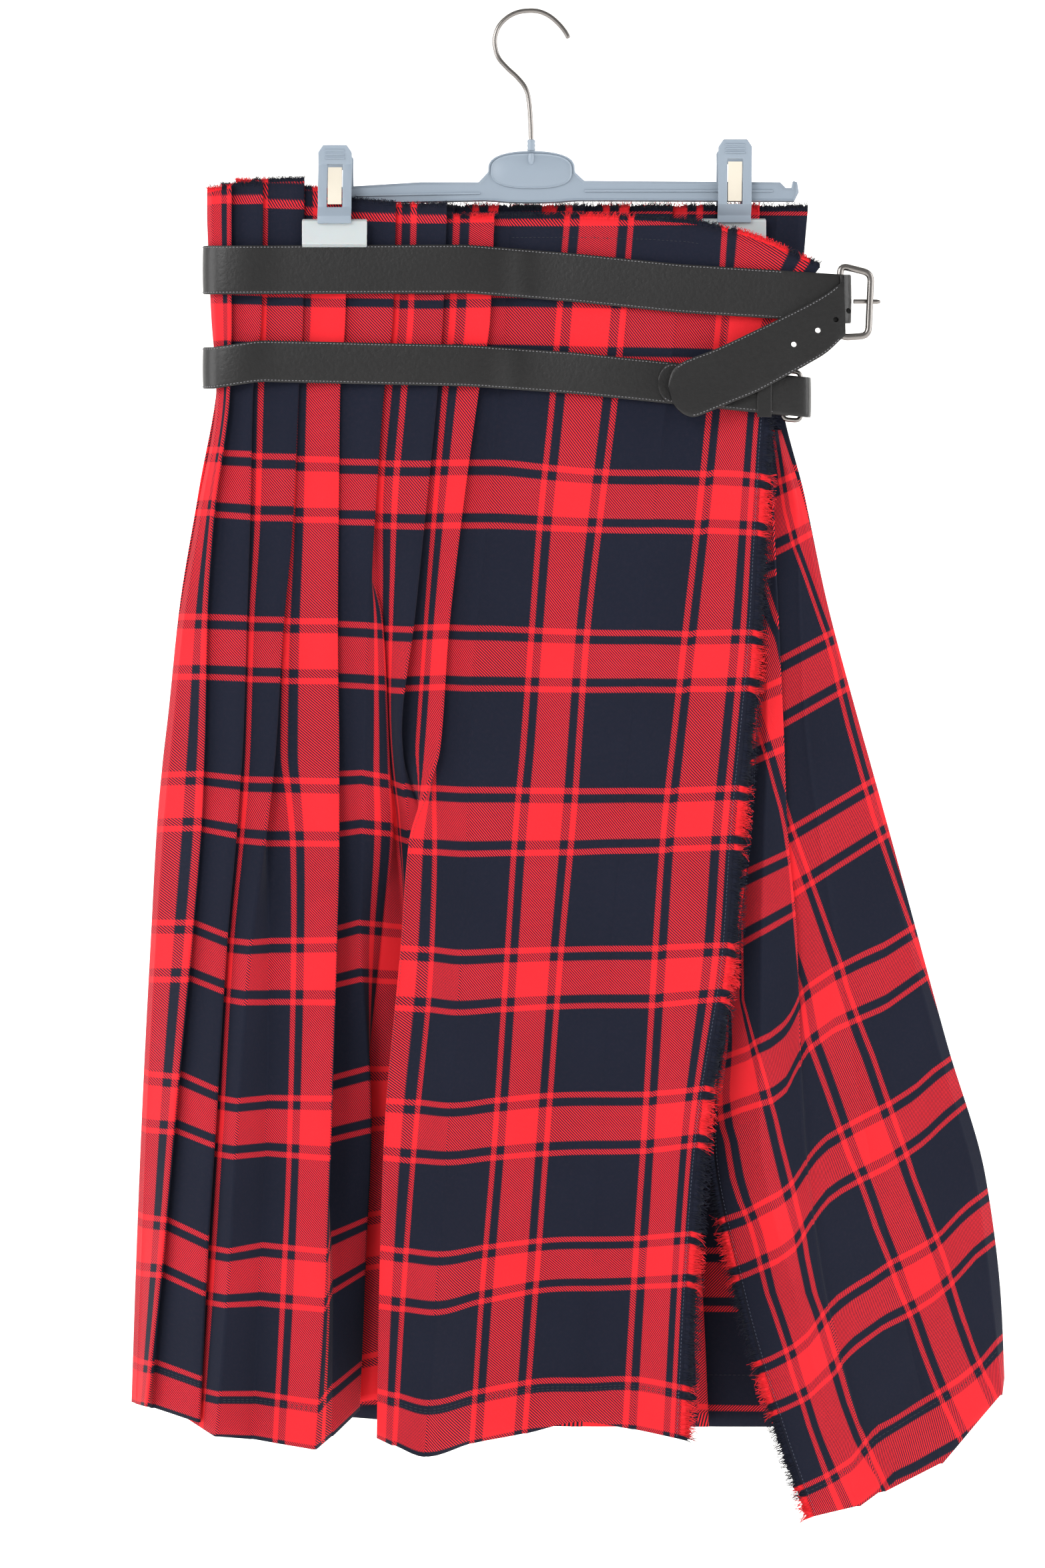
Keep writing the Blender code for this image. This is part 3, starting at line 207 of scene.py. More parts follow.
def look_at(item, target):
    item.rotation_euler = (Vector(target) - item.location).to_track_quat("-Z", "Y").to_euler()


def make_camera():
    data = bpy.data.cameras.new("camera")
    data.sensor_fit = "VERTICAL"
    data.sensor_height = 36.0
    data.lens = 36.0 * VIEW_DISTANCE / FRAME_HEIGHT
    data.clip_end = 20
    camera = bpy.data.objects.new("camera", data)
    bpy.context.scene.collection.objects.link(camera)
    camera.location = (VIEW_ACROSS * MM, -VIEW_DISTANCE * MM, -VIEW_DROP * MM)
    camera.rotation_euler = (math.pi / 2, 0, 0)
    bpy.context.scene.camera = camera


def area_light(name, place, target, size, power, colour=(1, 1, 1)):
    data = bpy.data.lights.new(name, "AREA")
    data.shape = "RECTANGLE"
    data.size, data.size_y = size
    data.energy = power
    data.color = colour
    light = bpy.data.objects.new(name, data)
    bpy.context.scene.collection.objects.link(light)
    light.location = place
    look_at(light, target)


def plain_material(name, colour, roughness, **more):
    made = bpy.data.materials.new(name)
    made.use_nodes = True
    shader = made.node_tree.nodes["Principled BSDF"]
    shader.inputs["Base Color"].default_value = (*colour, 1)
    shader.inputs["Roughness"].default_value = roughness
    for key, value in more.items():
        shader.inputs[key.replace("_", " ")].default_value = value
    return made


def make_room():
    for name, size, place, turn in (("backdrop", 30, (0, 6.0, -0.5), (math.pi / 2, 0, 0)),
                                    ("floor", 30, (0, 0, -1.45), (0, 0, 0))):
        mesh = bpy.data.meshes.new(name)
        half = size / 2
        mesh.from_pydata([(-half, -half, 0), (half, -half, 0), (half, half, 0), (-half, half, 0)], [],
                         [(0, 1, 2, 3)])
        item = bpy.data.objects.new(name, mesh)
        bpy.context.scene.collection.objects.link(item)
        item.location = place
        item.rotation_euler = turn
        paint = plain_material(name, (0.93, 0.925, 0.91), 0.9, Emission_Strength=0.62)
        paint.node_tree.nodes["Principled BSDF"].inputs["Emission Color"].default_value = (1, 0.995, 0.98, 1)
        mesh.materials.append(paint)
    world = bpy.data.worlds.new("world")
    world.use_nodes = True
    world.node_tree.nodes["Background"].inputs["Color"].default_value = (1.0, 0.995, 0.98, 1)
    world.node_tree.nodes["Background"].inputs["Strength"].default_value = 0.40
    bpy.context.scene.world = world
    middle = (0, 0, -0.5)
    area_light("key", (-1.5, -2.3, 0.9), middle, (1.3, 1.3), 37)
    area_light("fill", (2.0, -2.2, -0.2), middle, (2.0, 2.0), 11)
    area_light("side_left", (-2.2, -0.5, 0.3), (-0.4, 0.35, -0.4), (1.5, 2.0), 36)
    area_light("side_right", (2.2, -0.5, 0.3), (0.4, 0.35, -0.4), (1.5, 2.0), 36)
    bpy.context.scene.view_settings.view_transform = "Standard"


# Shared geometry.

def smooth_value(places, values, at):
    """Reads a table at any place, on a smooth curve that never overshoots its values."""
    places = np.asarray(places, float)
    values = np.asarray(values, float)
    at = float(np.clip(at, places[0], places[-1]))
    i = int(np.clip(np.searchsorted(places, at) - 1, 0, len(places) - 2))
    steps = np.diff(values) / np.diff(places)
    slopes = np.zeros(len(values))
    slopes[0], slopes[-1] = steps[0], steps[-1]
    for n in range(1, len(values) - 1):
        if steps[n - 1] * steps[n] > 0:
            slopes[n] = 2 * steps[n - 1] * steps[n] / (steps[n - 1] + steps[n])
    width = places[i + 1] - places[i]
    t = (at - places[i]) / width
    rise = values[i + 1] - values[i]
    start, end = slopes[i] * width, slopes[i + 1] * width
    return values[i] + t * (start + t * (3 * rise - 2 * start - end + t * (start + end - 2 * rise)))


def seen(across, drop, depth):
    """The point at this depth that a viewer sees at this place in the hanger's plane."""
    spread = (VIEW_DISTANCE + depth) / VIEW_DISTANCE
    return np.array((VIEW_ACROSS + (across - VIEW_ACROSS) * spread, depth,
                     -VIEW_DROP - (drop - VIEW_DROP) * spread))


def unit(vector):
    length = float(np.linalg.norm(vector))
    return vector / length if length > 1e-9 else vector


def new_object(name, mesh, materials, ride=True):
    item = bpy.data.objects.new(name, mesh)
    bpy.context.scene.collection.objects.link(item)
    for made in materials:
        mesh.materials.append(made)
    if ride:
        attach(item, "root")
    return item


def mesh_from(name, points, faces, uvs=None, smooth=True):
    """A mesh in metres from points in millimetres. uvs gives cloth millimetres for each point."""
    mesh = bpy.data.meshes.new(name)
    mesh.from_pydata([tuple(float(c) * MM for c in p) for p in points], [], faces)
    if uvs is not None:
        layer = mesh.uv_layers.new(name="cloth")
        index = np.empty(len(mesh.loops), dtype=np.int32)
        mesh.loops.foreach_get("vertex_index", index)
        layer.data.foreach_set("uv", (np.asarray(uvs, float)[index] * MM).ravel())
    if smooth:
        mesh.shade_smooth()
    mesh.update()
    return mesh


def grid_faces(rows, columns):
    return [(r * columns + c, r * columns + c + 1, (r + 1) * columns + c + 1, (r + 1) * columns + c)
            for r in range(rows - 1) for c in range(columns - 1)]


# Cloth sections.

def section(points, us, per_face):
    """A smooth section through fold points: rounded noses, and faces with points between.

    Returns the path and each path point's u.
    """
    points = [np.asarray(p, float) for p in points]
    path, cloth = [points[0]], [us[0]]
    last = len(points) - 1
    for n in range(1, last + 1):
        if n == last:
            ahead = [(points[n], us[n])]
        else:
            before = unit((points[n] - points[n - 1])[:2])
            after = unit((points[n + 1] - points[n])[:2])
            total = before + after
            folded = 1 - min(1.0, float(np.linalg.norm(total)) / FULLY_OPEN)
            width = CREASE_WIDTH + (LAYER_PITCH - CREASE_WIDTH) * folded
            along = np.append(unit(total), 0.0) * width / 2
            out = np.append(unit(before - after), 0.0) * (0.25 + 0.35 * folded)
            ahead = [(points[n] - along, us[n] - 1.2), (points[n] + out * 0.75 - along * 0.6, us[n] - 0.7),
                     (points[n] + out, us[n]),
                     (points[n] + out * 0.75 + along * 0.6, us[n] + 0.7), (points[n] + along, us[n] + 1.2)]
        start, start_u = path[-1], cloth[-1]
        end, end_u = ahead[0]
        for k in range(1, per_face):
            t = k / per_face
            path.append(start + (end - start) * t)
            cloth.append(start_u + (end_u - start_u) * t)
        for point, u in ahead:
            path.append(point)
            cloth.append(u)
    return path, cloth


def smooth_between(us, values, hard, at):
    """Reads values given at the fold lines: smooth, but with a corner at each hard fold."""
    breaks = [0] + [n for n in range(1, len(us) - 1) if hard[n]] + [len(us) - 1]
    out = []
    for u in at:
        k = next((b for b in range(1, len(breaks)) if u <= us[breaks[b]]), len(breaks) - 1)
        low, high = breaks[k - 1], breaks[k] + 1
        if high - low > 2:
            out.append(smooth_value(us[low:high], values[low:high], u))
        else:
            out.append(float(np.interp(u, us[low:high], values[low:high])))
    return out


def ripple(points, us, drop, strength):
    """Slight waves of hanging cloth, in depth, growing toward the hem."""
    moved = []
    for point, u in zip(points, us):
        wave = noise.noise(Vector((u * 0.021, drop * 0.0065, 3.1)))
        fine = noise.noise(Vector((u * 0.06, drop * 0.022, 7.7)))
        moved.append(point + np.array((0.0, (wave * 1.5 + fine * 0.35) * strength, 0.0)))
    return moved


def weft_tables(names):
    """A table of weft drops for every fold, read between the folds that have one."""
    known = [(n, WEFT_DROPS[name]) for n, name in enumerate(names) if name in WEFT_DROPS]
    tables = []
    for n in range(len(names)):
        columns = []
        for k in range(len(WEFT_V)):
            columns.append(float(np.interp(n, [p for p, _ in known], [d[k] for _, d in known])))
        tables.append(columns)
    return tables


def build_shell(name, rows, clothes, vs, materials, thickness=CLOTH_THICKNESS):
    """A thin cloth shell through rows of points, with its cloth coordinates."""
    columns = len(rows[0])
    points = [p for row in rows for p in row]
    uvs = [(u, v) for cloth, row_v in zip(clothes, vs) for u, v in zip(cloth, row_v)]
    mesh = mesh_from(name, points, grid_faces(len(rows), columns), uvs)
    item = new_object(name, mesh, materials)
    solid = item.modifiers.new("thickness", "SOLIDIFY")
    solid.thickness = thickness * MM
    solid.offset = 0
    solid.use_even_offset = False
    return item


def front_level(fold, share):
    _, top, hem, _, _ = fold
    drop = top + (hem - top) * share
    level = LEVELS[0] + (LEVELS[-1] - LEVELS[0]) * (drop - LEVELS[0]) / (hem - LEVELS[0])
    return drop, level


def front_point(fold, share):
    drop, level = front_level(fold, share)
    depth = smooth_value(LEVELS, FRONT_DEPTH, level) + smooth_value(LEVELS, fold[4], level)
    return seen(smooth_value(LEVELS, fold[3], level), drop, depth)


ROWS = 150
PER_FACE = 5

# Folds whose edge runs off the thread: the thread at the edge above 434 mm, and below 784 mm.
EDGE_THREADS = {"E3": (521.0, 533.0), "I2": (566.0, 572.0)}


def build_front(materials):
    names = list(FRONT_FOLDS)
    folds = list(FRONT_FOLDS.values())
    tables = weft_tables(names)
    us = [fold[0] for fold in folds]
    hard = [name[0] != "A" for name in names]
    rows, clothes, vs = [], [], []
    for r in range(ROWS):
        share = r / (ROWS - 1)
        points = [front_point(fold, share) for fold in folds]
        level = LEVELS[0] + (LEVELS[-1] - LEVELS[0]) * share
        us = [EDGE_THREADS[name][0] + (EDGE_THREADS[name][1] - EDGE_THREADS[name][0])
              * min(1.0, max(0.0, (level - 434) / 350)) if name in EDGE_THREADS else fold[0]
              for name, fold in FRONT_FOLDS.items()]
        path, cloth = section(points, us, PER_FACE)
        drops = [front_level(fold, share)[0] for fold in folds]
        fold_v = [float(np.interp(drop, table, WEFT_V)) for drop, table in zip(drops, tables)]
        row_v = smooth_between(us, fold_v, hard, cloth)
        soft = APRON_FOLDS["I7"][0]
        for n, (point, u) in enumerate(zip(path, cloth)):
            if u < soft:
                eased = smooth_between(us, drops, hard, [u])[0] - float(np.interp(u, us, drops))
                path[n] = point + np.array((0.0, 0.0, -eased))
        rows.append(ripple(path, cloth, drops[0], 0.15 + 0.85 * max(0.0, share - 0.45) / 0.55))
        clothes.append(cloth)
        vs.append(row_v)
    seam = FRONT_FOLDS["I7"][0]
    cut = min(range(len(clothes[0])), key=lambda n: abs(clothes[0][n] - seam))
    apron = build_shell("cloth_apron", [r[:cut + 1] for r in rows], [c[:cut + 1] for c in clothes],
                        [v[:cut + 1] for v in vs], materials)
    pleats = build_shell("cloth_pleats", [r[cut:] for r in rows], [c[cut:] for c in clothes],
                         [v[cut:] for v in vs], materials)
    return apron, pleats, rows, clothes, vs


def back_point(share_across, level, rise, hem_share):
    left = smooth_value(LEVELS, PLEAT_FOLDS["S0"][3], level) + 3 * GAP
    right = smooth_value(LEVELS, RIGHT_SIDE, level)
    across = left + (right - left) * share_across
    left_depth = (smooth_value(LEVELS, FRONT_DEPTH, level)
                  + smooth_value(LEVELS, PLEAT_FOLDS["S0"][4], level) + GAP)
    base = smooth_value(LEVELS, BACK_DEPTH, level)
    right_depth = smooth_value(LEVELS, RIGHT_SIDE_DEPTH, level) + LAYER_PITCH / 2
    reach_left = min(1.0, share_across / 0.06)
    reach_right = min(1.0, (1 - share_across) / 0.10)
    depth = left_depth + (base - left_depth) * math.sin(reach_left * math.pi / 2)
    depth = right_depth + (depth - right_depth) * math.sin(reach_right * math.pi / 2)
    depth += rise * min(reach_left, reach_right)
    hem = smooth_value((0, 0.5, 0.85, 1),
                       (BACK_LEFT_HEM_DROP, BACK_MIDDLE_HEM_DROP, BACK_MIDDLE_HEM_DROP,
                        BACK_RIGHT_HEM_DROP), share_across)
    top = smooth_value((0, 0.25, 1), (PLEAT_FOLDS["S0"][1], BACK_TOP_DROP, BACK_TOP_DROP),
                       share_across)
    return seen(across, top + (hem - top) * hem_share, depth)


def back_section(share):
    level = LEVELS[0] + (LEVELS[-1] - LEVELS[0]) * share
    overlap = smooth_value(LEVELS, BACK_OVERLAP, level)
    edge_rise = smooth_value(LEVELS, BACK_EDGE_RISE, level)
    inner_rise = smooth_value(LEVELS, BACK_INNER_RISE, level)
    width = smooth_value(LEVELS, RIGHT_SIDE, level) - smooth_value(LEVELS, PLEAT_FOLDS["S0"][3], level)
    points = [back_point(0, level, 0, share), back_point(0.02, level, 0, share)]
    us = [686.0, 694.0]
    for n in range(BACK_PLEATS):
        edge = 0.07 + 0.80 * n / (BACK_PLEATS - 1)
        points.append(back_point(edge + overlap / width, level, inner_rise, share))
        points.append(back_point(edge, level, edge_rise, share))
        us += [694.0 + BACK_PLEAT_CLOTH * (n + 0.66), 694.0 + BACK_PLEAT_CLOTH * (n + 1)]
    last_rise = (edge_rise + inner_rise) / 2
    points += [back_point(0.95, level, last_rise, share), back_point(1, level, 0, share)]
    us += [us[-1] + 34.0, us[-1] + 55.0]
    return points, us


def build_back(materials):
    rows, clothes, vs = [], [], []
    left, right = WEFT_DROPS["S0"], WEFT_DROPS["A0"]
    for r in range(90):
        share = r / 89
        points, us = back_section(share)
        path, cloth = section(points, us, 3)
        drops = [-(p[2] + VIEW_DROP) * VIEW_DISTANCE / (VIEW_DISTANCE + p[1]) + VIEW_DROP for p in path]
        row_v = []
        for drop, u in zip(drops, cloth):
            t = (u - us[0]) / (us[-1] - us[0])
            table = [a + (b - a) * t * 0.6 for a, b in zip(left, right)]
            shift = BACK_SHIFT * min(1.0, max(0.0, (t - 0.5) / 0.1)) * share ** 2
            row_v.append(float(np.interp(drop, table, WEFT_V)) - shift)
        rows.append(ripple(path, cloth, share * 850, 0.1 + 0.5 * share))
        clothes.append(cloth)
        vs.append(row_v)
    return build_shell("cloth_back", rows, clothes, vs, materials), rows, clothes, vs


def under_point(fold, share):
    _, hem, across, depth = fold
    drop = UNDER_TOP_DROP + (hem - UNDER_TOP_DROP) * share
    level = UNDER_TOP_DROP + (UNDER_LEVELS[-1] - UNDER_TOP_DROP) * share
    return seen(smooth_value(UNDER_LEVELS, across, level), drop, smooth_value(UNDER_LEVELS, depth, level))


# The free end's stripes as they show in the picture, in its own steps from its top left corner:
# one step is STEP millimetres and the hook's inside top is at ORIGIN_STEPS.
STEP = 0.467
ORIGIN_STEPS = (791, 20)
# The fold where the free end's left part lies over its right part, and how far under it goes.
UNDER_LAP = (3, 7, 9, 10, 9, 5, -3, -3, -3, -3)
# u: the upright thread line's places, from the top down.
LOWER_WARP = {
    7: ((1096, 1400), (1093, 1465), (1091, 1560), (1085, 1603), (1080, 1636), (1081, 1668), (1084, 1690),
        (1091, 1713), (1095, 1740), (1100, 1769), (1111, 1804), (1118, 1819), (1127, 1842), (1134, 1868),
        (1142, 1903), (1151, 1940), (1162, 1971), (1178, 2020), (1187, 2054), (1197, 2086), (1203, 2102),
        (1214, 2139), (1228, 2178), (1241, 2214), (1247, 2230), (1262, 2265)),
    47: ((1112, 1300), (1113, 1413), (1114, 1500), (1124, 1537), (1132, 1565), (1142, 1596), (1150, 1624),
         (1157, 1652), (1165, 1681), (1173, 1717), (1179, 1740), (1188, 1775), (1196, 1811), (1206, 1853),
         (1211, 1887), (1222, 1940), (1234, 1972), (1262, 2064), (1274, 2105), (1297, 2164), (1314, 2189),
         (1330, 2213)),
    115: ((1201, 1482), (1212, 1560), (1217, 1572), (1225, 1594), (1240, 1636), (1260, 1695), (1274, 1736),
          (1290, 1771), (1307, 1820), (1314, 1842), (1335, 1895), (1349, 1936), (1365, 1972), (1383, 2025),
          (1407, 2089), (1427, 2131)),
    155: ((1270, 1480), (1288, 1529), (1311, 1588), (1334, 1656), (1348, 1697), (1361, 1732), (1372, 1768),
          (1392, 1821), (1406, 1856), (1418, 1890), (1429, 1925), (1445, 1977), (1459, 2016), (1470, 2044),
          (1493, 2092)),
}
LEFT_WARP = {
    7: ((1096, 1100),) + LOWER_WARP[7],
    47: ((1100, 1100),) + LOWER_WARP[47],
    115: ((1065, 850), (1085, 930), (1105, 1000), (1125, 1060), (1137, 1100), (1150, 1141), (1160, 1179),
          (1170, 1213), (1177, 1248), (1179, 1262), (1185, 1300), (1192, 1380)) + LOWER_WARP[115],
    155: ((1140, 850), (1165, 930), (1181, 960), (1187, 1000), (1202, 1060), (1213, 1100), (1235, 1179),
          (1253, 1248), (1262, 1380)) + LOWER_WARP[155],
}
RIGHT_WARP = {
    115: ((1030, 680), (1060, 900), (1100, 1100), (1125, 1193), (1145, 1300), (1180, 1420)) + LOWER_WARP[115],
    155: ((1075, 680), (1090, 800), (1110, 900), (1130, 1000), (1150, 1100), (1165, 1150), (1174, 1193),
          (1187, 1238), (1208, 1296), (1225, 1344), (1246, 1403), (1263, 1451)) + LOWER_WARP[155],
    223: ((1165, 680), (1177, 766), (1190, 817), (1208, 865), (1224, 911), (1240, 956), (1251, 996),
          (1261, 1042), (1273, 1090), (1289, 1148), (1312, 1230), (1345, 1330), (1380, 1430), (1415, 1530),
          (1455, 1650), (1495, 1780), (1530, 1900), (1570, 2040), (1590, 2100)),
    263: ((1200, 680), (1235, 817), (1285, 956), (1340, 1148), (1400, 1330), (1480, 1530), (1600, 1900),
          (1660, 2100)),
}
# v: the weft's thread line, from left to right.
LOWER_WEFT = {
    439: ((1060, 1592), (1087, 1586), (1123, 1573), (1132, 1565), (1156, 1553), (1175, 1538), (1188, 1521),
          (1201, 1490), (1215, 1478), (1250, 1455), (1291, 1434), (1329, 1417), (1353, 1402)),
    479: ((1060, 1684), (1082, 1677), (1115, 1664), (1157, 1652), (1163, 1649), (1179, 1636), (1187, 1621),
          (1193, 1607), (1202, 1592), (1207, 1580), (1217, 1571), (1252, 1545), (1288, 1529), (1328, 1512),
          (1367, 1484)),
    547: ((1070, 1834), (1091, 1828), (1118, 1819), (1142, 1805), (1168, 1791), (1188, 1775), (1199, 1759),
          (1212, 1738), (1225, 1721), (1240, 1707), (1260, 1695), (1300, 1673), (1334, 1656), (1372, 1632),
          (1398, 1608), (1430, 1585)),
    587: ((1095, 1922), (1122, 1912), (1142, 1903), (1168, 1892), (1193, 1873), (1206, 1853), (1215, 1838),
          (1225, 1824), (1240, 1803), (1260, 1788), (1290, 1771), (1328, 1753), (1361, 1732), (1389, 1712),
          (1415, 1686), (1440, 1665)),
    655: ((1130, 2048), (1155, 2039), (1180, 2026), (1194, 2018), (1212, 2002), (1234, 1972), (1252, 1950),
          (1280, 1931), (1307, 1915), (1335, 1895), (1372, 1876), (1406, 1856), (1427, 1833), (1445, 1814),
          (1480, 1788)),
    695: ((1150, 2124), (1178, 2114), (1203, 2102), (1216, 2095), (1233, 2078), (1253, 2060), (1266, 2040),
          (1280, 2025), (1326, 1991), (1365, 1972), (1399, 1950), (1429, 1925), (1464, 1885), (1490, 1865)),
    763: ((1180, 2240), (1208, 2229), (1241, 2214), (1256, 2205), (1278, 2190), (1297, 2164), (1314, 2144),
          (1340, 2131), (1372, 2110), (1407, 2089), (1436, 2071), (1470, 2044), (1496, 2012), (1515, 1995)),
    790: ((1190, 2292), (1224, 2278), (1265, 2256), (1289, 2244), (1315, 2222), (1340, 2196), (1372, 2180),
          (1410, 2158), (1441, 2140), (1468, 2117), (1498, 2090), (1512, 2056)),
}
LEFT_WEFT = {
    115: ((1120, 778), (1182, 752)), 155: ((1120, 878), (1182, 851)), 223: ((1120, 1043), (1182, 1016)),
    263: ((1120, 1148), (1182, 1121)), 331: ((1100, 1317), (1124, 1306), (1182, 1279)),
    371: ((1100, 1423), (1122, 1411), (1184, 1376)), **LOWER_WEFT,
}
RIGHT_WEFT = {
    115: ((1165, 725), (1190, 714)), 155: ((1165, 829), (1185, 819), (1213, 803)),
    223: ((1165, 993), (1245, 951)), 263: ((1165, 1094), (1175, 1088), (1263, 1038)),
    331: ((1170, 1253), (1179, 1248), (1296, 1179)), 371: ((1170, 1356), (1182, 1348), (1317, 1262)),
    **LOWER_WEFT,
}


def on_line(line, at, along):
    """Where a line is at one place, carried on straight beyond its ends."""
    places = [p[along] for p in line]
    values = [p[1 - along] for p in line]
    if at < places[0]:
        return values[0] + (at - places[0]) * (values[1] - values[0]) / (places[1] - places[0])
    if at > places[-1]:
        return values[-1] + (at - places[-1]) * (values[-1] - values[-2]) / (places[-1] - places[-2])
    return float(np.interp(at, places, values))


def between_lines(lines, at, along, value):
    """The thread at a place, read between the lines on each side of it."""
    keys = list(lines)
    places = [on_line(lines[key], at, along) for key in keys]
    n = int(np.clip(np.searchsorted(places, value) - 1, 0, len(keys) - 2))
    width = places[n + 1] - places[n]
    return keys[n] + (value - places[n]) * (keys[n + 1] - keys[n]) / (width if abs(width) > 1 else 1.0)


def under_cloth(across, drop, warp, weft):
    """Cloth coordinates of the free end at a place in the hanger's plane."""
    x = across / STEP + ORIGIN_STEPS[0]
    y = drop / STEP + ORIGIN_STEPS[1]
    return between_lines(warp, y, 1, x), between_lines(weft, x, 0, y)


def build_under(materials):
    folds = list(UNDER_FOLDS.values())
    nose, inner = 48.0, 58.0
    us = [folds[0][0], folds[1][0], nose, inner] + [fold[0] for fold in folds[3:]]
    rows, clothes, vs = [], [], []
    for r in range(ROWS - 20):
        share = r / (ROWS - 21)
        level = UNDER_TOP_DROP + (UNDER_LEVELS[-1] - UNDER_TOP_DROP) * share
        points = [under_point(fold, share) for fold in folds]
        lap = smooth_value(UNDER_LEVELS, UNDER_LAP, level)
        over = points[2] + np.array((0.0, -1.2, 0.0))
        below = points[2] + np.array((-lap, 1.2, 0.0))
        points = points[:2] + [over, below] + points[3:]
        path, shares = section(points, us, 9)
        places = []
        for point in path:
            spread = (VIEW_DISTANCE + point[1]) / VIEW_DISTANCE
            places.append((VIEW_ACROSS + (point[0] - VIEW_ACROSS) / spread,
                           VIEW_DROP - (point[2] + VIEW_DROP) / spread))
        last = max(n for n, u in enumerate(shares) if u <= nose)
        first = min(n for n, u in enumerate(shares) if u >= inner)
        cloth = [under_cloth(*place, LEFT_WARP, LEFT_WEFT) for place in places[:last + 1]]
        beyond = [under_cloth(*place, RIGHT_WARP, RIGHT_WEFT) for place in places[first:]]
        steps = first - last
        for n in range(1, steps):
            t = n / steps
            cloth.append(tuple(a + (b - a) * t for a, b in zip(cloth[last], beyond[0])))
        cloth += beyond
        rows.append(ripple(path, shares, 300 + share * 750, 0.1 + 0.7 * share))
        clothes.append([c[0] for c in cloth])
        vs.append([c[1] for c in cloth])
    return build_shell("cloth_under", rows, clothes, vs, materials), rows, clothes, vs


make_camera()
make_room()


# Materials.

class Nodes:
    """Small helper that adds nodes to a material and links them."""

    def __init__(self, made):
        self.tree = made.node_tree
        self.shader = made.node_tree.nodes["Principled BSDF"]

    def add(self, kind, **settings):
        node = self.tree.nodes.new(kind)
        for key, value in settings.items():
            setattr(node, key, value)
        return node

    def link(self, out, into):
        self.tree.links.new(out, into)

    def math(self, operation, first, second=None, third=None):
        node = self.add("ShaderNodeMath", operation=operation)
        for n, value in enumerate((first, second, third)):
            if value is None:
                continue
            if isinstance(value, (int, float)):
                node.inputs[n].default_value = value
            else:
                self.link(value, node.inputs[n])
        return node.outputs[0]

    def mix(self, share, first, second):
        node = self.add("ShaderNodeMix", data_type="RGBA")
        for socket, value in ((node.inputs[0], share), (node.inputs[6], first), (node.inputs[7], second)):
            if isinstance(value, tuple):
                socket.default_value = (*value, 1)
            elif isinstance(value, (int, float)):
                socket.default_value = value
            else:
                self.link(value, socket)
        return node.outputs[2]

    def noise(self, vector, scale, detail=2.0):
        node = self.add("ShaderNodeTexNoise")
        node.inputs["Scale"].default_value = scale
        node.inputs["Detail"].default_value = detail
        self.link(vector, node.inputs["Vector"])
        return node.outputs["Fac"]


REPEAT = 108.0
STRIPES = ((5, 9), (15, 39), (45, 49))
RED = (0.79, 0.021, 0.030)
DARK = (0.0085, 0.0110, 0.0225)


def stripe(nodes, along):
    """1 in the red stripes of the tartan's repeat and 0 in the dark ones, with soft thread edges."""
    place = nodes.math("FRACT", nodes.math("MULTIPLY", along, 1000.0 / REPEAT))
    ramp = nodes.add("ShaderNodeValToRGB")
    ramp.color_ramp.interpolation = "LINEAR"
    stops = ramp.color_ramp.elements
    soft = 0.35
    marks = []
    for low, high in STRIPES:
        marks += [((low - soft) / REPEAT, 0), ((low + soft) / REPEAT, 1),
                  ((high - soft) / REPEAT, 1), ((high + soft) / REPEAT, 0)]
    stops[0].position, stops[0].color = 0.0, (0, 0, 0, 1)
    stops[1].position, stops[1].color = 1.0, (0, 0, 0, 1)
    for position, value in marks:
        stop = stops.new(position)
        stop.color = (value, value, value, 1)
    nodes.link(place, ramp.inputs["Fac"])
    return ramp.outputs["Color"]


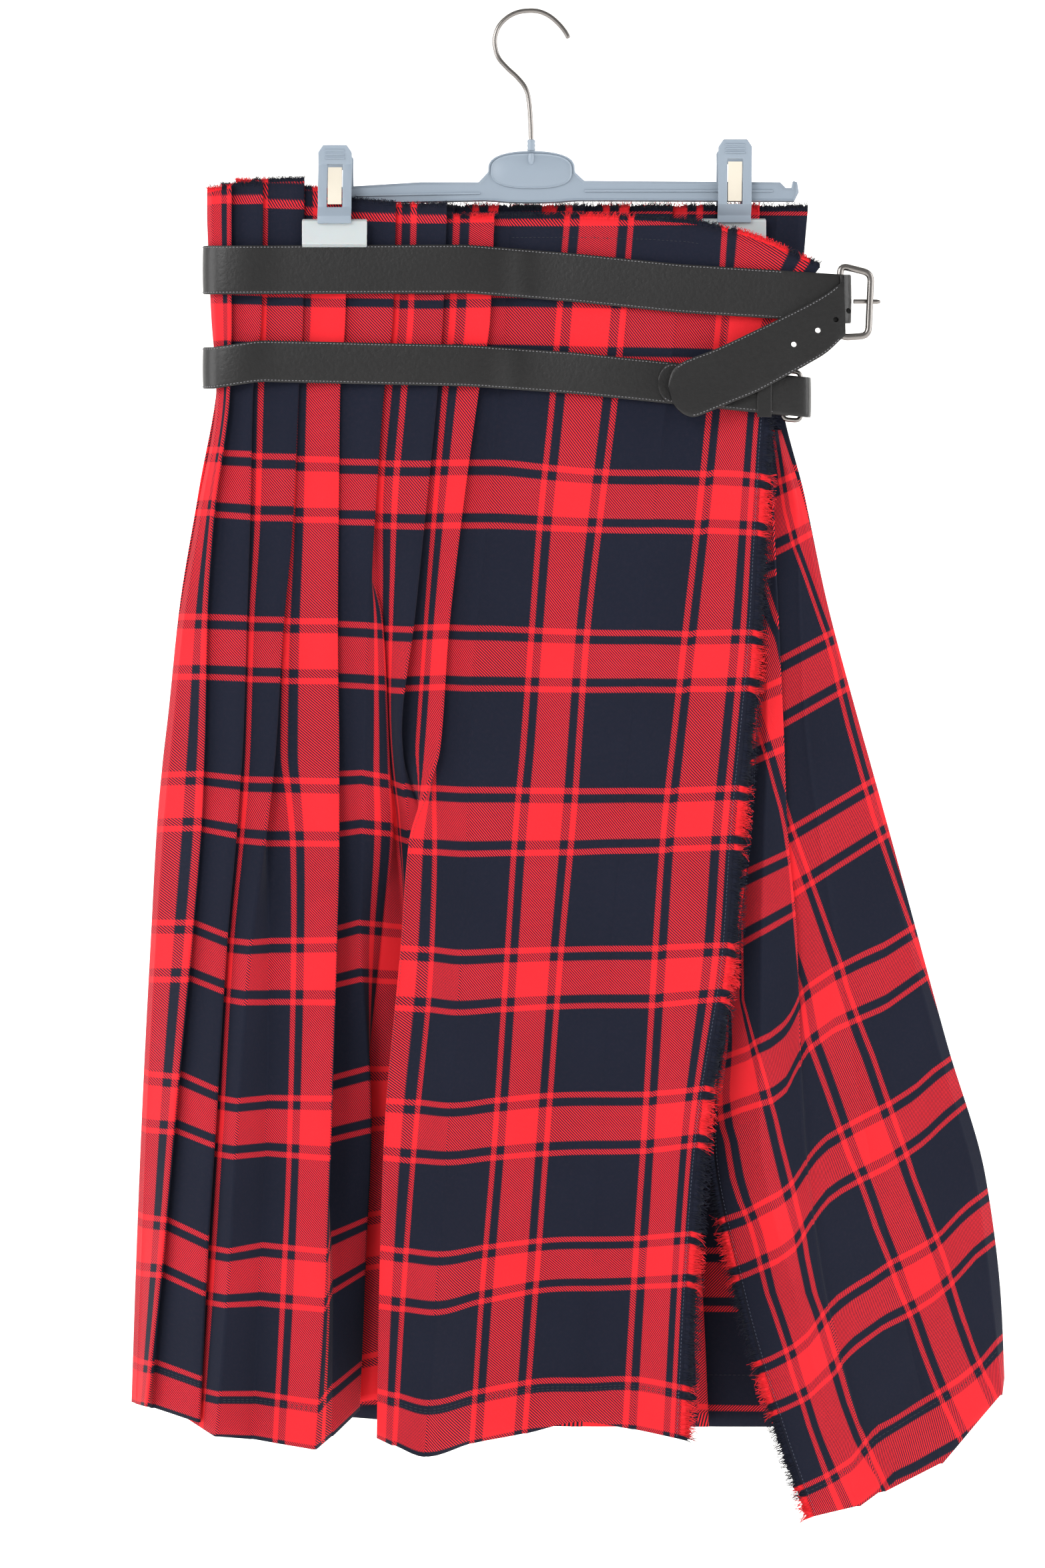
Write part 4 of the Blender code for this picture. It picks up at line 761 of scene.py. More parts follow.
def tartan_material(name="tartan", fringe=None):
    """Woven twill: the warp's stripes run down the cloth and the weft's across it.

    fringe is "weft" or "warp" where only those threads are left.
    """
    made = bpy.data.materials.new(name)
    made.use_nodes = True
    nodes = Nodes(made)
    place = nodes.add("ShaderNodeUVMap", uv_map="cloth").outputs["UV"]
    split = nodes.add("ShaderNodeSeparateXYZ")
    nodes.link(place, split.inputs[0])
    u, v = split.outputs[0], split.outputs[1]
    threads = nodes.noise(place, 420.0, 1.0)
    patches = nodes.noise(place, 14.0, 3.0)
    warp = stripe(nodes, u)
    weft = stripe(nodes, v)
    if fringe is None:
        diagonal = nodes.math("FRACT", nodes.math("MULTIPLY", nodes.math("ADD", u, v), 1000.0 / 1.9))
        on_top = nodes.math("GREATER_THAN", diagonal, 0.5)
        red = nodes.math("ADD", nodes.math("MULTIPLY", warp, on_top),
                         nodes.math("MULTIPLY", weft, nodes.math("SUBTRACT", 1.0, on_top)))
        rib = nodes.math("ABSOLUTE", nodes.math("SUBTRACT", nodes.math("FRACT", nodes.math(
            "MULTIPLY", nodes.math("ADD", u, v), 1000.0 / 0.95)), 0.5))
    else:
        red = weft if fringe == "weft" else warp
        rib = threads
    colour = nodes.mix(red, DARK, RED)
    lighter = nodes.mix(nodes.math("MULTIPLY", threads, 0.30), colour, (0.55, 0.30, 0.32))
    worn = nodes.mix(nodes.math("MULTIPLY", nodes.math("SUBTRACT", threads, 0.35), 0.10), colour, lighter)
    shade = nodes.add("ShaderNodeHueSaturation")
    nodes.link(worn, shade.inputs["Color"])
    nodes.link(nodes.math("ADD", 0.86, nodes.math("MULTIPLY", patches, 0.28)), shade.inputs["Value"])
    nodes.link(shade.outputs[0], nodes.shader.inputs["Base Color"])
    nodes.link(nodes.math("ADD", 0.80, nodes.math("MULTIPLY", threads, 0.18)),
               nodes.shader.inputs["Roughness"])
    nodes.shader.inputs["Sheen Weight"].default_value = 0.04
    nodes.shader.inputs["Sheen Roughness"].default_value = 0.45
    nodes.shader.inputs["Specular IOR Level"].default_value = 0.12
    bump = nodes.add("ShaderNodeBump")
    bump.inputs["Distance"].default_value = 0.00035
    bump.inputs["Strength"].default_value = 0.6
    nodes.link(nodes.math("ADD", nodes.math("MULTIPLY", rib, 0.7), nodes.math("MULTIPLY", threads, 0.6)),
               bump.inputs["Height"])
    nodes.link(bump.outputs[0], nodes.shader.inputs["Normal"])
    return made


def surface_material(name, colour, roughness, grain, depth, metallic=0.0, variation=0.15, mottled=None,
                     **more):
    """A material with grain of its own size, uneven colour and uneven gloss."""
    made = bpy.data.materials.new(name)
    made.use_nodes = True
    nodes = Nodes(made)
    place = nodes.add("ShaderNodeTexCoord").outputs["Object"]
    fine = nodes.noise(place, grain, 4.0)
    broad = nodes.noise(place, grain * 0.06, 2.0)
    other = mottled or tuple(c * (1 + variation) for c in colour)
    nodes.link(nodes.mix(broad, colour, other), nodes.shader.inputs["Base Color"])
    nodes.link(nodes.math("ADD", roughness - 0.06, nodes.math("MULTIPLY", fine, 0.14)),
               nodes.shader.inputs["Roughness"])
    nodes.shader.inputs["Metallic"].default_value = metallic
    for key, value in more.items():
        nodes.shader.inputs[key.replace("_", " ")].default_value = value
    bump = nodes.add("ShaderNodeBump")
    bump.inputs["Distance"].default_value = depth * MM
    bump.inputs["Strength"].default_value = 0.5
    nodes.link(fine, bump.inputs["Height"])
    nodes.link(bump.outputs[0], nodes.shader.inputs["Normal"])
    return made


# Straps.

def cloth_front(across, drop):
    knots = []
    for name, fold in FRONT_FOLDS.items():
        if name[0] in "AES" and name != "S0":
            nose = LAYER_PITCH / 2 if name[0] == "E" else 0
            depth = smooth_value(LEVELS, FRONT_DEPTH, drop) + smooth_value(LEVELS, fold[4], drop) - nose
            knots.append((smooth_value(LEVELS, fold[3], drop), depth))
    knots.sort()
    return float(np.interp(across, [k[0] for k in knots], [k[1] for k in knots]))


def strap_depth(across, drop, height):
    drops = (drop - height / 2, drop, drop + height / 2)
    foremost = min(cloth_front(across + aside, d) for d in drops for aside in (-10, 0, 10))
    return foremost - CLOTH_WALL / 2 - STRAP_CLEARANCE - STRAP_THICKNESS / 2


def back_strap_depth(drop, height):
    low = drop + height / 2
    noses = smooth_value(LEVELS, BACK_DEPTH, low) + smooth_value(LEVELS, BACK_EDGE_RISE, low)
    return noses + LAYER_PITCH / 2 + CLOTH_WALL / 2 + STRAP_CLEARANCE + STRAP_THICKNESS / 2


def strap_line(line, across):
    return float(np.interp(across, [p[0] for p in line], [p[1] for p in line]))


def arc(centre, radius, start, end, count):
    angles = [math.radians(start + (end - start) * n / (count - 1)) for n in range(count)]
    return [(centre[0] + radius * math.cos(a), centre[1] + radius * math.sin(a)) for a in angles]


def strap_route(line, height, bar, bar_width, steps, back, back_end):
    """The strap from its loop on the buckle's bar, across the front, round the left, to the back."""
    depth = strap_depth(bar - 12, strap_line(line, bar), height)
    radius = bar_width / 2 + GAP + STRAP_THICKNESS / 2
    centre = (bar, depth + radius)
    points = [(bar - 6, depth + STRAP_THICKNESS + 2 * GAP)] + arc(centre, radius, 105, -90, 12)
    for n in range(steps + 1):
        across = bar - 12 + (STRAP_TURN_START - bar + 12) * n / steps
        points.append((across, strap_depth(across, strap_line(line, across), height)))
    front = points[-1][1]
    middle, reach = (front + back) / 2, (back - front) / 2
    for n in range(1, 16):
        angle = math.pi * n / 16
        points.append((STRAP_TURN_START - STRAP_TURN_REACH * math.sin(angle),
                       middle - reach * math.cos(angle)))
    points.append((STRAP_TURN_START, back))
    points += [(across, back) for across in (-100, 0, 100, back_end)]
    return points, centre


def edge_points(points, line, height):
    top, bottom = [], []
    for across, depth in points:
        middle = strap_line(line, across)
        top.append(seen(across, middle - height / 2, depth))
        bottom.append(seen(across, middle + height / 2, depth))
    return top, bottom


def softened(points, times=2):
    points = [np.asarray(p, float) for p in points]
    for _ in range(times):
        points = [points[0]] + [(points[n - 1] + 2 * points[n] + points[n + 1]) / 4
                                for n in range(1, len(points) - 1)] + [points[-1]]
    return points


def strap_mesh(name, top, bottom, material, crown=0.25):
    """A strap between its two edges: a little thicker along its middle, with rounded edges."""
    spans = [(t, 0.62 if t in (0.0, 1.0) else 0.90 + crown * (1 - (2 * t - 1) ** 2))
             for t in (0.0, 0.03, 0.10, 0.22, 0.36, 0.5, 0.64, 0.78, 0.90, 0.97, 1.0)]
    count = len(top)
    points = []
    for n in range(count):
        before = (top[max(0, n - 1)] + bottom[max(0, n - 1)]) / 2
        after = (top[min(count - 1, n + 1)] + bottom[min(count - 1, n + 1)]) / 2
        normal = unit(np.cross(unit(after - before), unit(bottom[n] - top[n])))
        ring = []
        for side in (1, -1):
            for t, fat in (spans if side == 1 else reversed(spans)):
                base = top[n] + (bottom[n] - top[n]) * t
                ring.append(base + normal * side * STRAP_THICKNESS / 2 * fat)
        points += ring
    ring_size = 2 * len(spans)
    faces = []
    for n in range(count - 1):
        for k in range(ring_size):
            m = (k + 1) % ring_size
            faces.append((n * ring_size + k, n * ring_size + m, (n + 1) * ring_size + m,
                          (n + 1) * ring_size + k))
    faces.append(tuple(range(ring_size)))
    faces.append(tuple((count - 1) * ring_size + k for k in reversed(range(ring_size))))
    mesh = mesh_from(name, points, faces)
    tool = bmesh.new()
    tool.from_mesh(mesh)
    bmesh.ops.recalc_face_normals(tool, faces=tool.faces)
    tool.to_mesh(mesh)
    tool.free()
    mesh.shade_smooth()
    mesh.set_sharp_from_angle(angle=math.radians(50))
    return new_object(name, mesh, [material])


def bead(points, faces, start, end, out, radius):
    """Adds one stitch: a slim six-sided bead from start to end, domed outward."""
    along = unit(end - start)
    side = unit(np.cross(along, out))
    base = len(points)
    middle = (start + end) / 2
    points.append(start)
    reach = end - start
    for place, fat in ((start + reach * 0.18, 0.8), (middle, 1.0), (start + reach * 0.82, 0.8)):
        for n in range(5):
            angle = 2 * math.pi * n / 5
            points.append(place + (side * math.cos(angle) + out * math.sin(angle)) * radius * fat)
    points.append(end)
    for n in range(5):
        m = (n + 1) % 5
        faces.append((base, base + 1 + m, base + 1 + n))
        for r in (0, 1):
            a = base + 1 + r * 5
            faces.append((a + n, a + m, a + 5 + m, a + 5 + n))
        faces.append((base + 16, base + 11 + n, base + 11 + m))


def stitches(name, line, outs, pitch, length, radius, material):
    """A row of stitches along a line of points, each with its outward direction."""
    line = [np.asarray(p, float) for p in line]
    reach = np.concatenate([[0], np.cumsum([np.linalg.norm(b - a) for a, b in zip(line, line[1:])])])
    points, faces = [], []
    at = pitch / 2
    while at + length < reach[-1]:
        ends = [np.array([np.interp(x, reach, [p[k] for p in line]) for k in range(3)])
                for x in (at, at + length)]
        out = unit(np.array([np.interp(at, reach, [o[k] for o in outs]) for k in range(3)]))
        bead(points, faces, ends[0], ends[1], out, radius)
        at += pitch
    return new_object(name, mesh_from(name, points, faces), [material])


def strap_stitching(name, top, bottom, first, last, material, inset=1.3, outward=1.0):
    """Two rows of stitches along a strap's edges, on its outer face."""
    for edge, other, word in ((top, bottom, "a"), (bottom, top, "b")):
        line, outs = [], []
        for n in range(first, last):
            before = (top[max(0, n - 1)] + bottom[max(0, n - 1)]) / 2
            after = (top[min(len(top) - 1, n + 1)] + bottom[min(len(top) - 1, n + 1)]) / 2
            normal = unit(np.cross(unit(after - before), unit(bottom[n] - top[n]))) * outward
            inward = unit(other[n] - edge[n])
            line.append(edge[n] + inward * inset + normal * (STRAP_THICKNESS / 2 + 0.02))
            outs.append(normal)
        stitches("%s_%s" % (name, word), line, outs, 2.4, 1.5, 0.40, material)


# Buckles, hanger and clips.

def tube_mesh(name, path, radii, sides, material, closed=False, flat=1.0):
    """A tube through points. flat squeezes it toward its plane's normal."""
    path = [np.asarray(p, float) for p in path]
    count = len(path)
    points, faces = [], []
    up = np.array((0.0, 1.0, 0.0))
    for n, point in enumerate(path):
        if closed:
            along = unit(path[(n + 1) % count] - path[n - 1])
        else:
            along = unit(path[min(count - 1, n + 1)] - path[max(0, n - 1)])
        side = unit(np.cross(along, up))
        rise = unit(np.cross(side, along))
        for k in range(sides):
            angle = 2 * math.pi * k / sides
            points.append(point + (side * math.cos(angle) + rise * math.sin(angle) * flat) * radii[n])
    rings = count if closed else count - 1
    for n in range(rings):
        m = (n + 1) % count
        for k in range(sides):
            j = (k + 1) % sides
            faces.append((n * sides + k, n * sides + j, m * sides + j, m * sides + k))
    if not closed:
        faces.append(tuple(reversed(range(sides))))
        faces.append(tuple((count - 1) * sides + k for k in range(sides)))
    mesh = mesh_from(name, points, faces)
    tool = bmesh.new()
    tool.from_mesh(mesh)
    bmesh.ops.recalc_face_normals(tool, faces=tool.faces)
    tool.to_mesh(mesh)
    tool.free()
    mesh.shade_smooth()
    mesh.set_sharp_from_angle(angle=math.radians(60))
    return new_object(name, mesh, [material])


def rounded_loop(corners, radius, steps=5):
    """A closed path through corners, each turned on a small curve."""
    corners = [np.asarray(c, float) for c in corners]
    path = []
    for n, corner in enumerate(corners):
        before = unit(corners[n - 1] - corner) * radius
        after = unit(corners[(n + 1) % len(corners)] - corner) * radius
        for k in range(steps + 1):
            t = k / steps
            path.append((corner + before) * (1 - t) ** 2 + corner * 2 * t * (1 - t)
                        + (corner + after) * t ** 2)
    return path


def curve_through(knots, steps):
    path = []
    knots = [np.asarray(k, float) for k in knots]
    for n in range(len(knots) - 1):
        a, b = knots[max(0, n - 1)], knots[n]
        c, d = knots[n + 1], knots[min(len(knots) - 1, n + 2)]
        for s in range(steps):
            t = s / steps
            path.append(0.5 * (2 * b + (c - a) * t + (2 * a - 5 * b + 4 * c - d) * t ** 2
                               + (3 * b - a - 3 * c + d) * t ** 3))
    path.append(knots[-1])
    return path


def bevelled(item, width, segments=2, angle=30):
    edge = item.modifiers.new("edges", "BEVEL")
    edge.width = width * MM
    edge.segments = segments
    edge.limit_method = "ANGLE"
    edge.angle_limit = math.radians(angle)
    item.data.shade_smooth()
    item.data.set_sharp_from_angle(angle=math.radians(40))
    return item


def prism(name, outline, front, back, material, bevel=0.5, rim=0.0, sink=0.0):
    tool = bmesh.new()
    ring = [tool.verts.new((x, front, -d)) for x, d in outline]
    made = bmesh.ops.extrude_face_region(tool, geom=[tool.faces.new(ring)])
    moved = [v for v in made["geom"] if isinstance(v, bmesh.types.BMVert)]
    bmesh.ops.translate(tool, vec=(0, back - front, 0), verts=moved)
    bmesh.ops.recalc_face_normals(tool, faces=tool.faces)
    if rim:
        for cap in [f for f in tool.faces if abs(f.normal.y) > 0.9]:
            inward = -1 if cap.normal.y > 0 else 1
            bmesh.ops.inset_individual(tool, faces=[cap], thickness=rim, use_even_offset=True)
            bmesh.ops.translate(tool, vec=(0, inward * sink, 0), verts=cap.verts)
    bmesh.ops.scale(tool, vec=(MM, MM, MM), verts=tool.verts)
    mesh = bpy.data.meshes.new(name)
    tool.to_mesh(mesh)
    tool.free()
    return bevelled(new_object(name, mesh, [material]), bevel)


BAR_LEFT, BAR_RIGHT, BAR_TOP, BAR_DEPTH = -186.0, 189.0, 119.0, 6.0
TAB_MIDDLE, TAB_HALF_WIDTH, TAB_TOP, TAB_RISE = 3.0, 30.5, 97.0, 15.0
COLLAR_ACROSS = 2.8


def bar_outline():
    outline = [(BAR_LEFT, BAR_TOP + 8), (-125, BAR_TOP + 3), (-75, BAR_TOP), (-34, BAR_TOP)]
    for n in range(17):
        angle = math.pi * (1 - n / 16)
        outline.append((TAB_MIDDLE + TAB_HALF_WIDTH * math.cos(angle),
                        TAB_TOP + TAB_RISE - TAB_RISE * math.sin(angle) ** 0.6))
    outline += [(40, BAR_TOP - 1), (BAR_RIGHT - 12, BAR_TOP), (BAR_RIGHT - 8, BAR_TOP + 4),
                (BAR_RIGHT - 4, BAR_TOP + 4), (BAR_RIGHT - 3, BAR_TOP - 1), (BAR_RIGHT, BAR_TOP),
                (BAR_RIGHT + 1, BAR_TOP + 7), (BAR_RIGHT - 2, BAR_TOP + 13), (35, BAR_TOP + 12.5)]
    for n in range(1, 10):
        angle = math.pi * n / 10
        outline.append((TAB_MIDDLE + TAB_HALF_WIDTH * math.cos(angle) * 0.85,
                        BAR_TOP + 12.5 + 1.5 * math.sin(angle)))
    outline += [(-30, BAR_TOP + 12.5), (-125, BAR_TOP + 14.6), (BAR_LEFT, BAR_TOP + 19)]
    return outline


def build_hanger(grey, metal):
    bar = prism("hanger_bar_skin", bar_outline(), -BAR_DEPTH / 2, BAR_DEPTH / 2, grey, 0.45, 1.6, 1.4)
    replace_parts(bar, "hanger_bar")
    for name, left, right, height in (("rib_left", -120, -33, BAR_TOP + 7.6),
                                      ("rib_right", 40, 172, BAR_TOP + 6)):
        for word, sign in (("front", -1), ("back", 1)):
            slope = 1.6 if left < 0 else 0
            rib = prism("hanger_%s_%s" % (name, word),
                        [(left, height + slope - 0.7), (right, height - 0.7), (right, height + 0.7),
                         (left, height + slope + 0.7)], sign * 1.5, sign * 2.7, grey, 0.3)
    oval = []
    for n in range(48):
        x, y = math.cos(2 * math.pi * n / 48), math.sin(2 * math.pi * n / 48)
        oval.append((TAB_MIDDLE + 28.5 * math.copysign(abs(x) ** 0.72, x),
                     111.0 + 12.2 * math.copysign(abs(y) ** 0.72, y)))
    for word, sign in (("front", -1), ("back", 1)):
        plate = prism("hanger_tab_plate_%s" % word, oval, sign * 1.5, sign * 2.9, grey, 0.5, 1.5, 0.8)
        post = tube_mesh("hanger_post_%s" % word, [np.array((COLLAR_ACROSS, sign * 1.9, -d))
                                                   for d in (99.0, 101.5, 104.0, 106.0, 106.8)],
                         [2.2, 2.3, 2.2, 1.6, 0.5], 14, grey)
    collar = curve_through([(COLLAR_ACROSS, 0, -(TAB_TOP - 8)), (COLLAR_ACROSS, 0, -(TAB_TOP - GAP))], 6)
    radii = [2.8 if n % 2 else 2.55 for n in range(len(collar))]
    piece = tube_mesh("hanger_collar_skin", collar, radii, 20, grey)
    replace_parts(piece, "hanger_collar")
    stem = [(COLLAR_ACROSS, TAB_TOP - 8.3), (2.3, 75), (1.0, 60), (-1.5, 52), (-7, 45), (-14, 38.5)]
    bend = [(-20, 31.5), (-22.4, 24), (-22.6, 17), (-20, 9.5), (-14.5, 3.5), (-7.5, -0.3),
            (0, -1.65), (8, -1.2), (15.5, 2), (22, 7.5), (26.5, 13), (29, 17.5)]
    path = curve_through([(x, 0, -d) for x, d in stem + bend], 6)
    radii = [1.65] * len(path)
    radii[-1] = 1.2
    hook = tube_mesh("hanger_hook_skin", path, radii, 16, metal)
    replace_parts(hook, "hanger_hook")


CLIP_WIDTH, WINDOW_HALF, LEVER_HEIGHT, LEVER_THICKNESS, CORNER_EASE = 23.4, 5.4, 56.0, 2.4, 3.5
PAD_WIDTH, PAD_HEIGHT, PAD_THICKNESS, RIDGE_HEIGHT = 45.0, 20.0, 3.5, 11.0


def plate(name, xs, heights, depths, thickness, material, window=(), ease=0.0, bevel=0.5):
    tool = bmesh.new()
    sheets = []
    for sign in (0, 1):
        grid = []
        for row, (drop, depth) in enumerate(zip(heights, depths)):
            shift = {0: ease, len(xs) - 1: -ease} if row == 0 else {}
            grid.append([tool.verts.new((x + shift.get(c, 0), depth + sign * thickness, -drop))
                         for c, x in enumerate(xs)])
        sheets.append(grid)
    near, far = sheets
    cells = {(r, c) for r in range(len(heights) - 1) for c in range(len(xs) - 1)} - set(window)
    steps = (((0, 0), (0, 1), (-1, 0)), ((0, 1), (1, 1), (0, 1)), ((1, 1), (1, 0), (1, 0)),
             ((1, 0), (0, 0), (0, -1)))
    for r, c in sorted(cells):
        for grid in sheets:
            tool.faces.new((grid[r][c], grid[r][c + 1], grid[r + 1][c + 1], grid[r + 1][c]))
        for first, second, beyond in steps:
            if (r + beyond[0], c + beyond[1]) not in cells:
                a, b = (r + first[0], c + first[1]), (r + second[0], c + second[1])
                tool.faces.new((near[a[0]][a[1]], near[b[0]][b[1]], far[b[0]][b[1]], far[a[0]][a[1]]))
    for vert in [v for v in tool.verts if not v.link_faces]:
        tool.verts.remove(vert)
    bmesh.ops.recalc_face_normals(tool, faces=tool.faces)
    bmesh.ops.scale(tool, vec=(MM, MM, MM), verts=tool.verts)
    mesh = bpy.data.meshes.new(name)
    tool.to_mesh(mesh)
    tool.free()
    return bevelled(new_object(name, mesh, [material]), bevel, 3, 25)


def pad_skin(name, middle, top, face, standoff, outward, material):
    half = PAD_WIDTH / 2
    outer = face + outward * (standoff + PAD_THICKNESS)
    shelf = face + outward * standoff
    profile = [(face, top + 1.5), (face, top + RIDGE_HEIGHT), (shelf, top + RIDGE_HEIGHT),
               (shelf, top + PAD_HEIGHT), (outer, top + PAD_HEIGHT - 2), (outer, top + 2), (shelf, top)]
    if standoff < GAP:
        profile = [(face, top), (face, top + PAD_HEIGHT), (outer, top + PAD_HEIGHT - 2), (outer, top + 2)]
    tool = bmesh.new()
    ends = [[tool.verts.new((x * MM, y * MM, -d * MM)) for y, d in profile]
            for x in (middle - half, middle + half)]
    for end in ends:
        tool.faces.new(end)
    for n in range(len(profile)):
        m = (n + 1) % len(profile)
        tool.faces.new((ends[0][n], ends[0][m], ends[1][m], ends[1][n]))
    bmesh.ops.recalc_face_normals(tool, faces=tool.faces)
    mesh = bpy.data.meshes.new(name)
    tool.to_mesh(mesh)
    tool.free()
    return bevelled(new_object(name, mesh, [material]), 0.7, 3)


def build_clip(side, middle, top, jaws, lever_front, lever_back, grey, beige, milky):
    front_face, front_standoff, back_face, back_standoff = jaws
    bottom = top + LEVER_HEIGHT
    pad_top = bottom - 4
    front_outer = front_face - front_standoff - PAD_THICKNESS - GAP - LEVER_THICKNESS
    back_outer = back_face + back_standoff + PAD_THICKNESS + GAP
    heights = (top, top + 5, top + 13, top + 30, bottom - 12, bottom - 5, bottom)
    half = CLIP_WIDTH / 2
    xs = (middle - half, middle - WINDOW_HALF, middle + WINDOW_HALF, middle + half)
    window = ((2, 1), (3, 1))
    front = (*lever_front, front_outer, front_outer)
    back = (*lever_back, back_outer, back_outer)
    for word, depths, sign in (("front", front, -1), ("back", back, 1)):
        name = "clip_%s_%s" % (side, word)
        piece = plate(name + "_skin", xs, heights, depths, LEVER_THICKNESS, grey, window, CORNER_EASE)
        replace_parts(piece, name)
        for n in range(3):
            drop = top + 3.2 + n * 2.6
            depth = float(np.interp(drop, heights, depths))
            outer = depth - 0.55 if sign < 0 else depth + LEVER_THICKNESS - 0.4
            grip = plate("%s_grip_%d" % (name, n), (middle - 7.0, middle + 7.0), (drop, drop + 1.2),
                         (outer, outer), 0.95, grey, bevel=0.3)
    for word, face, standoff, sign in (("front", front_face, front_standoff, -1),
                                       ("back", back_face, back_standoff, 1)):
        name = "clip_%s_%s_pad" % (side, word)
        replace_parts(pad_skin(name + "_skin", middle, pad_top, face, standoff, sign, milky), name)
    spring_xs = (middle - WINDOW_HALF + 0.5, middle + WINDOW_HALF - 0.5)
    heights = (top + 15, top + 22, top + 30, bottom - 20, bottom - 14)
    ends = (top + 15, top + 30, bottom - 14)
    depths = tuple(float(np.interp(h, ends, (front[2] - 0.5, front[3] + 0.4, front[4] + 0.4)))
                   for h in heights)
    spring = plate("clip_%s_spring_skin" % side, spring_xs, heights, depths, 1.2, beige, bevel=0.3)
    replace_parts(spring, "clip_%s_spring" % side)


def punch(item, places, radius):
    """Cuts round holes through an object, along the depth."""
    tool = bmesh.new()
    for place in places:
        made = bmesh.ops.create_cone(tool, cap_ends=True, segments=20, radius1=radius * MM,
                                     radius2=radius * MM, depth=14 * MM)
        turn = Matrix.Rotation(math.pi / 2, 4, "X")
        bmesh.ops.transform(tool, matrix=Matrix.Translation(Vector(place) * MM) @ turn, verts=made["verts"])
    mesh = bpy.data.meshes.new("punch")
    tool.to_mesh(mesh)
    tool.free()
    cutter = bpy.data.objects.new("punch", mesh)
    bpy.context.scene.collection.objects.link(cutter)
    cut = item.modifiers.new("holes", "BOOLEAN")
    cut.operation = "DIFFERENCE"
    cut.solver = "EXACT"
    cut.object = cutter
    seen_mesh = bpy.data.meshes.new_from_object(item.evaluated_get(bpy.context.evaluated_depsgraph_get()))
    item.modifiers.clear()
    item.data = seen_mesh
    bpy.data.objects.remove(cutter)
    bpy.data.meshes.remove(mesh)


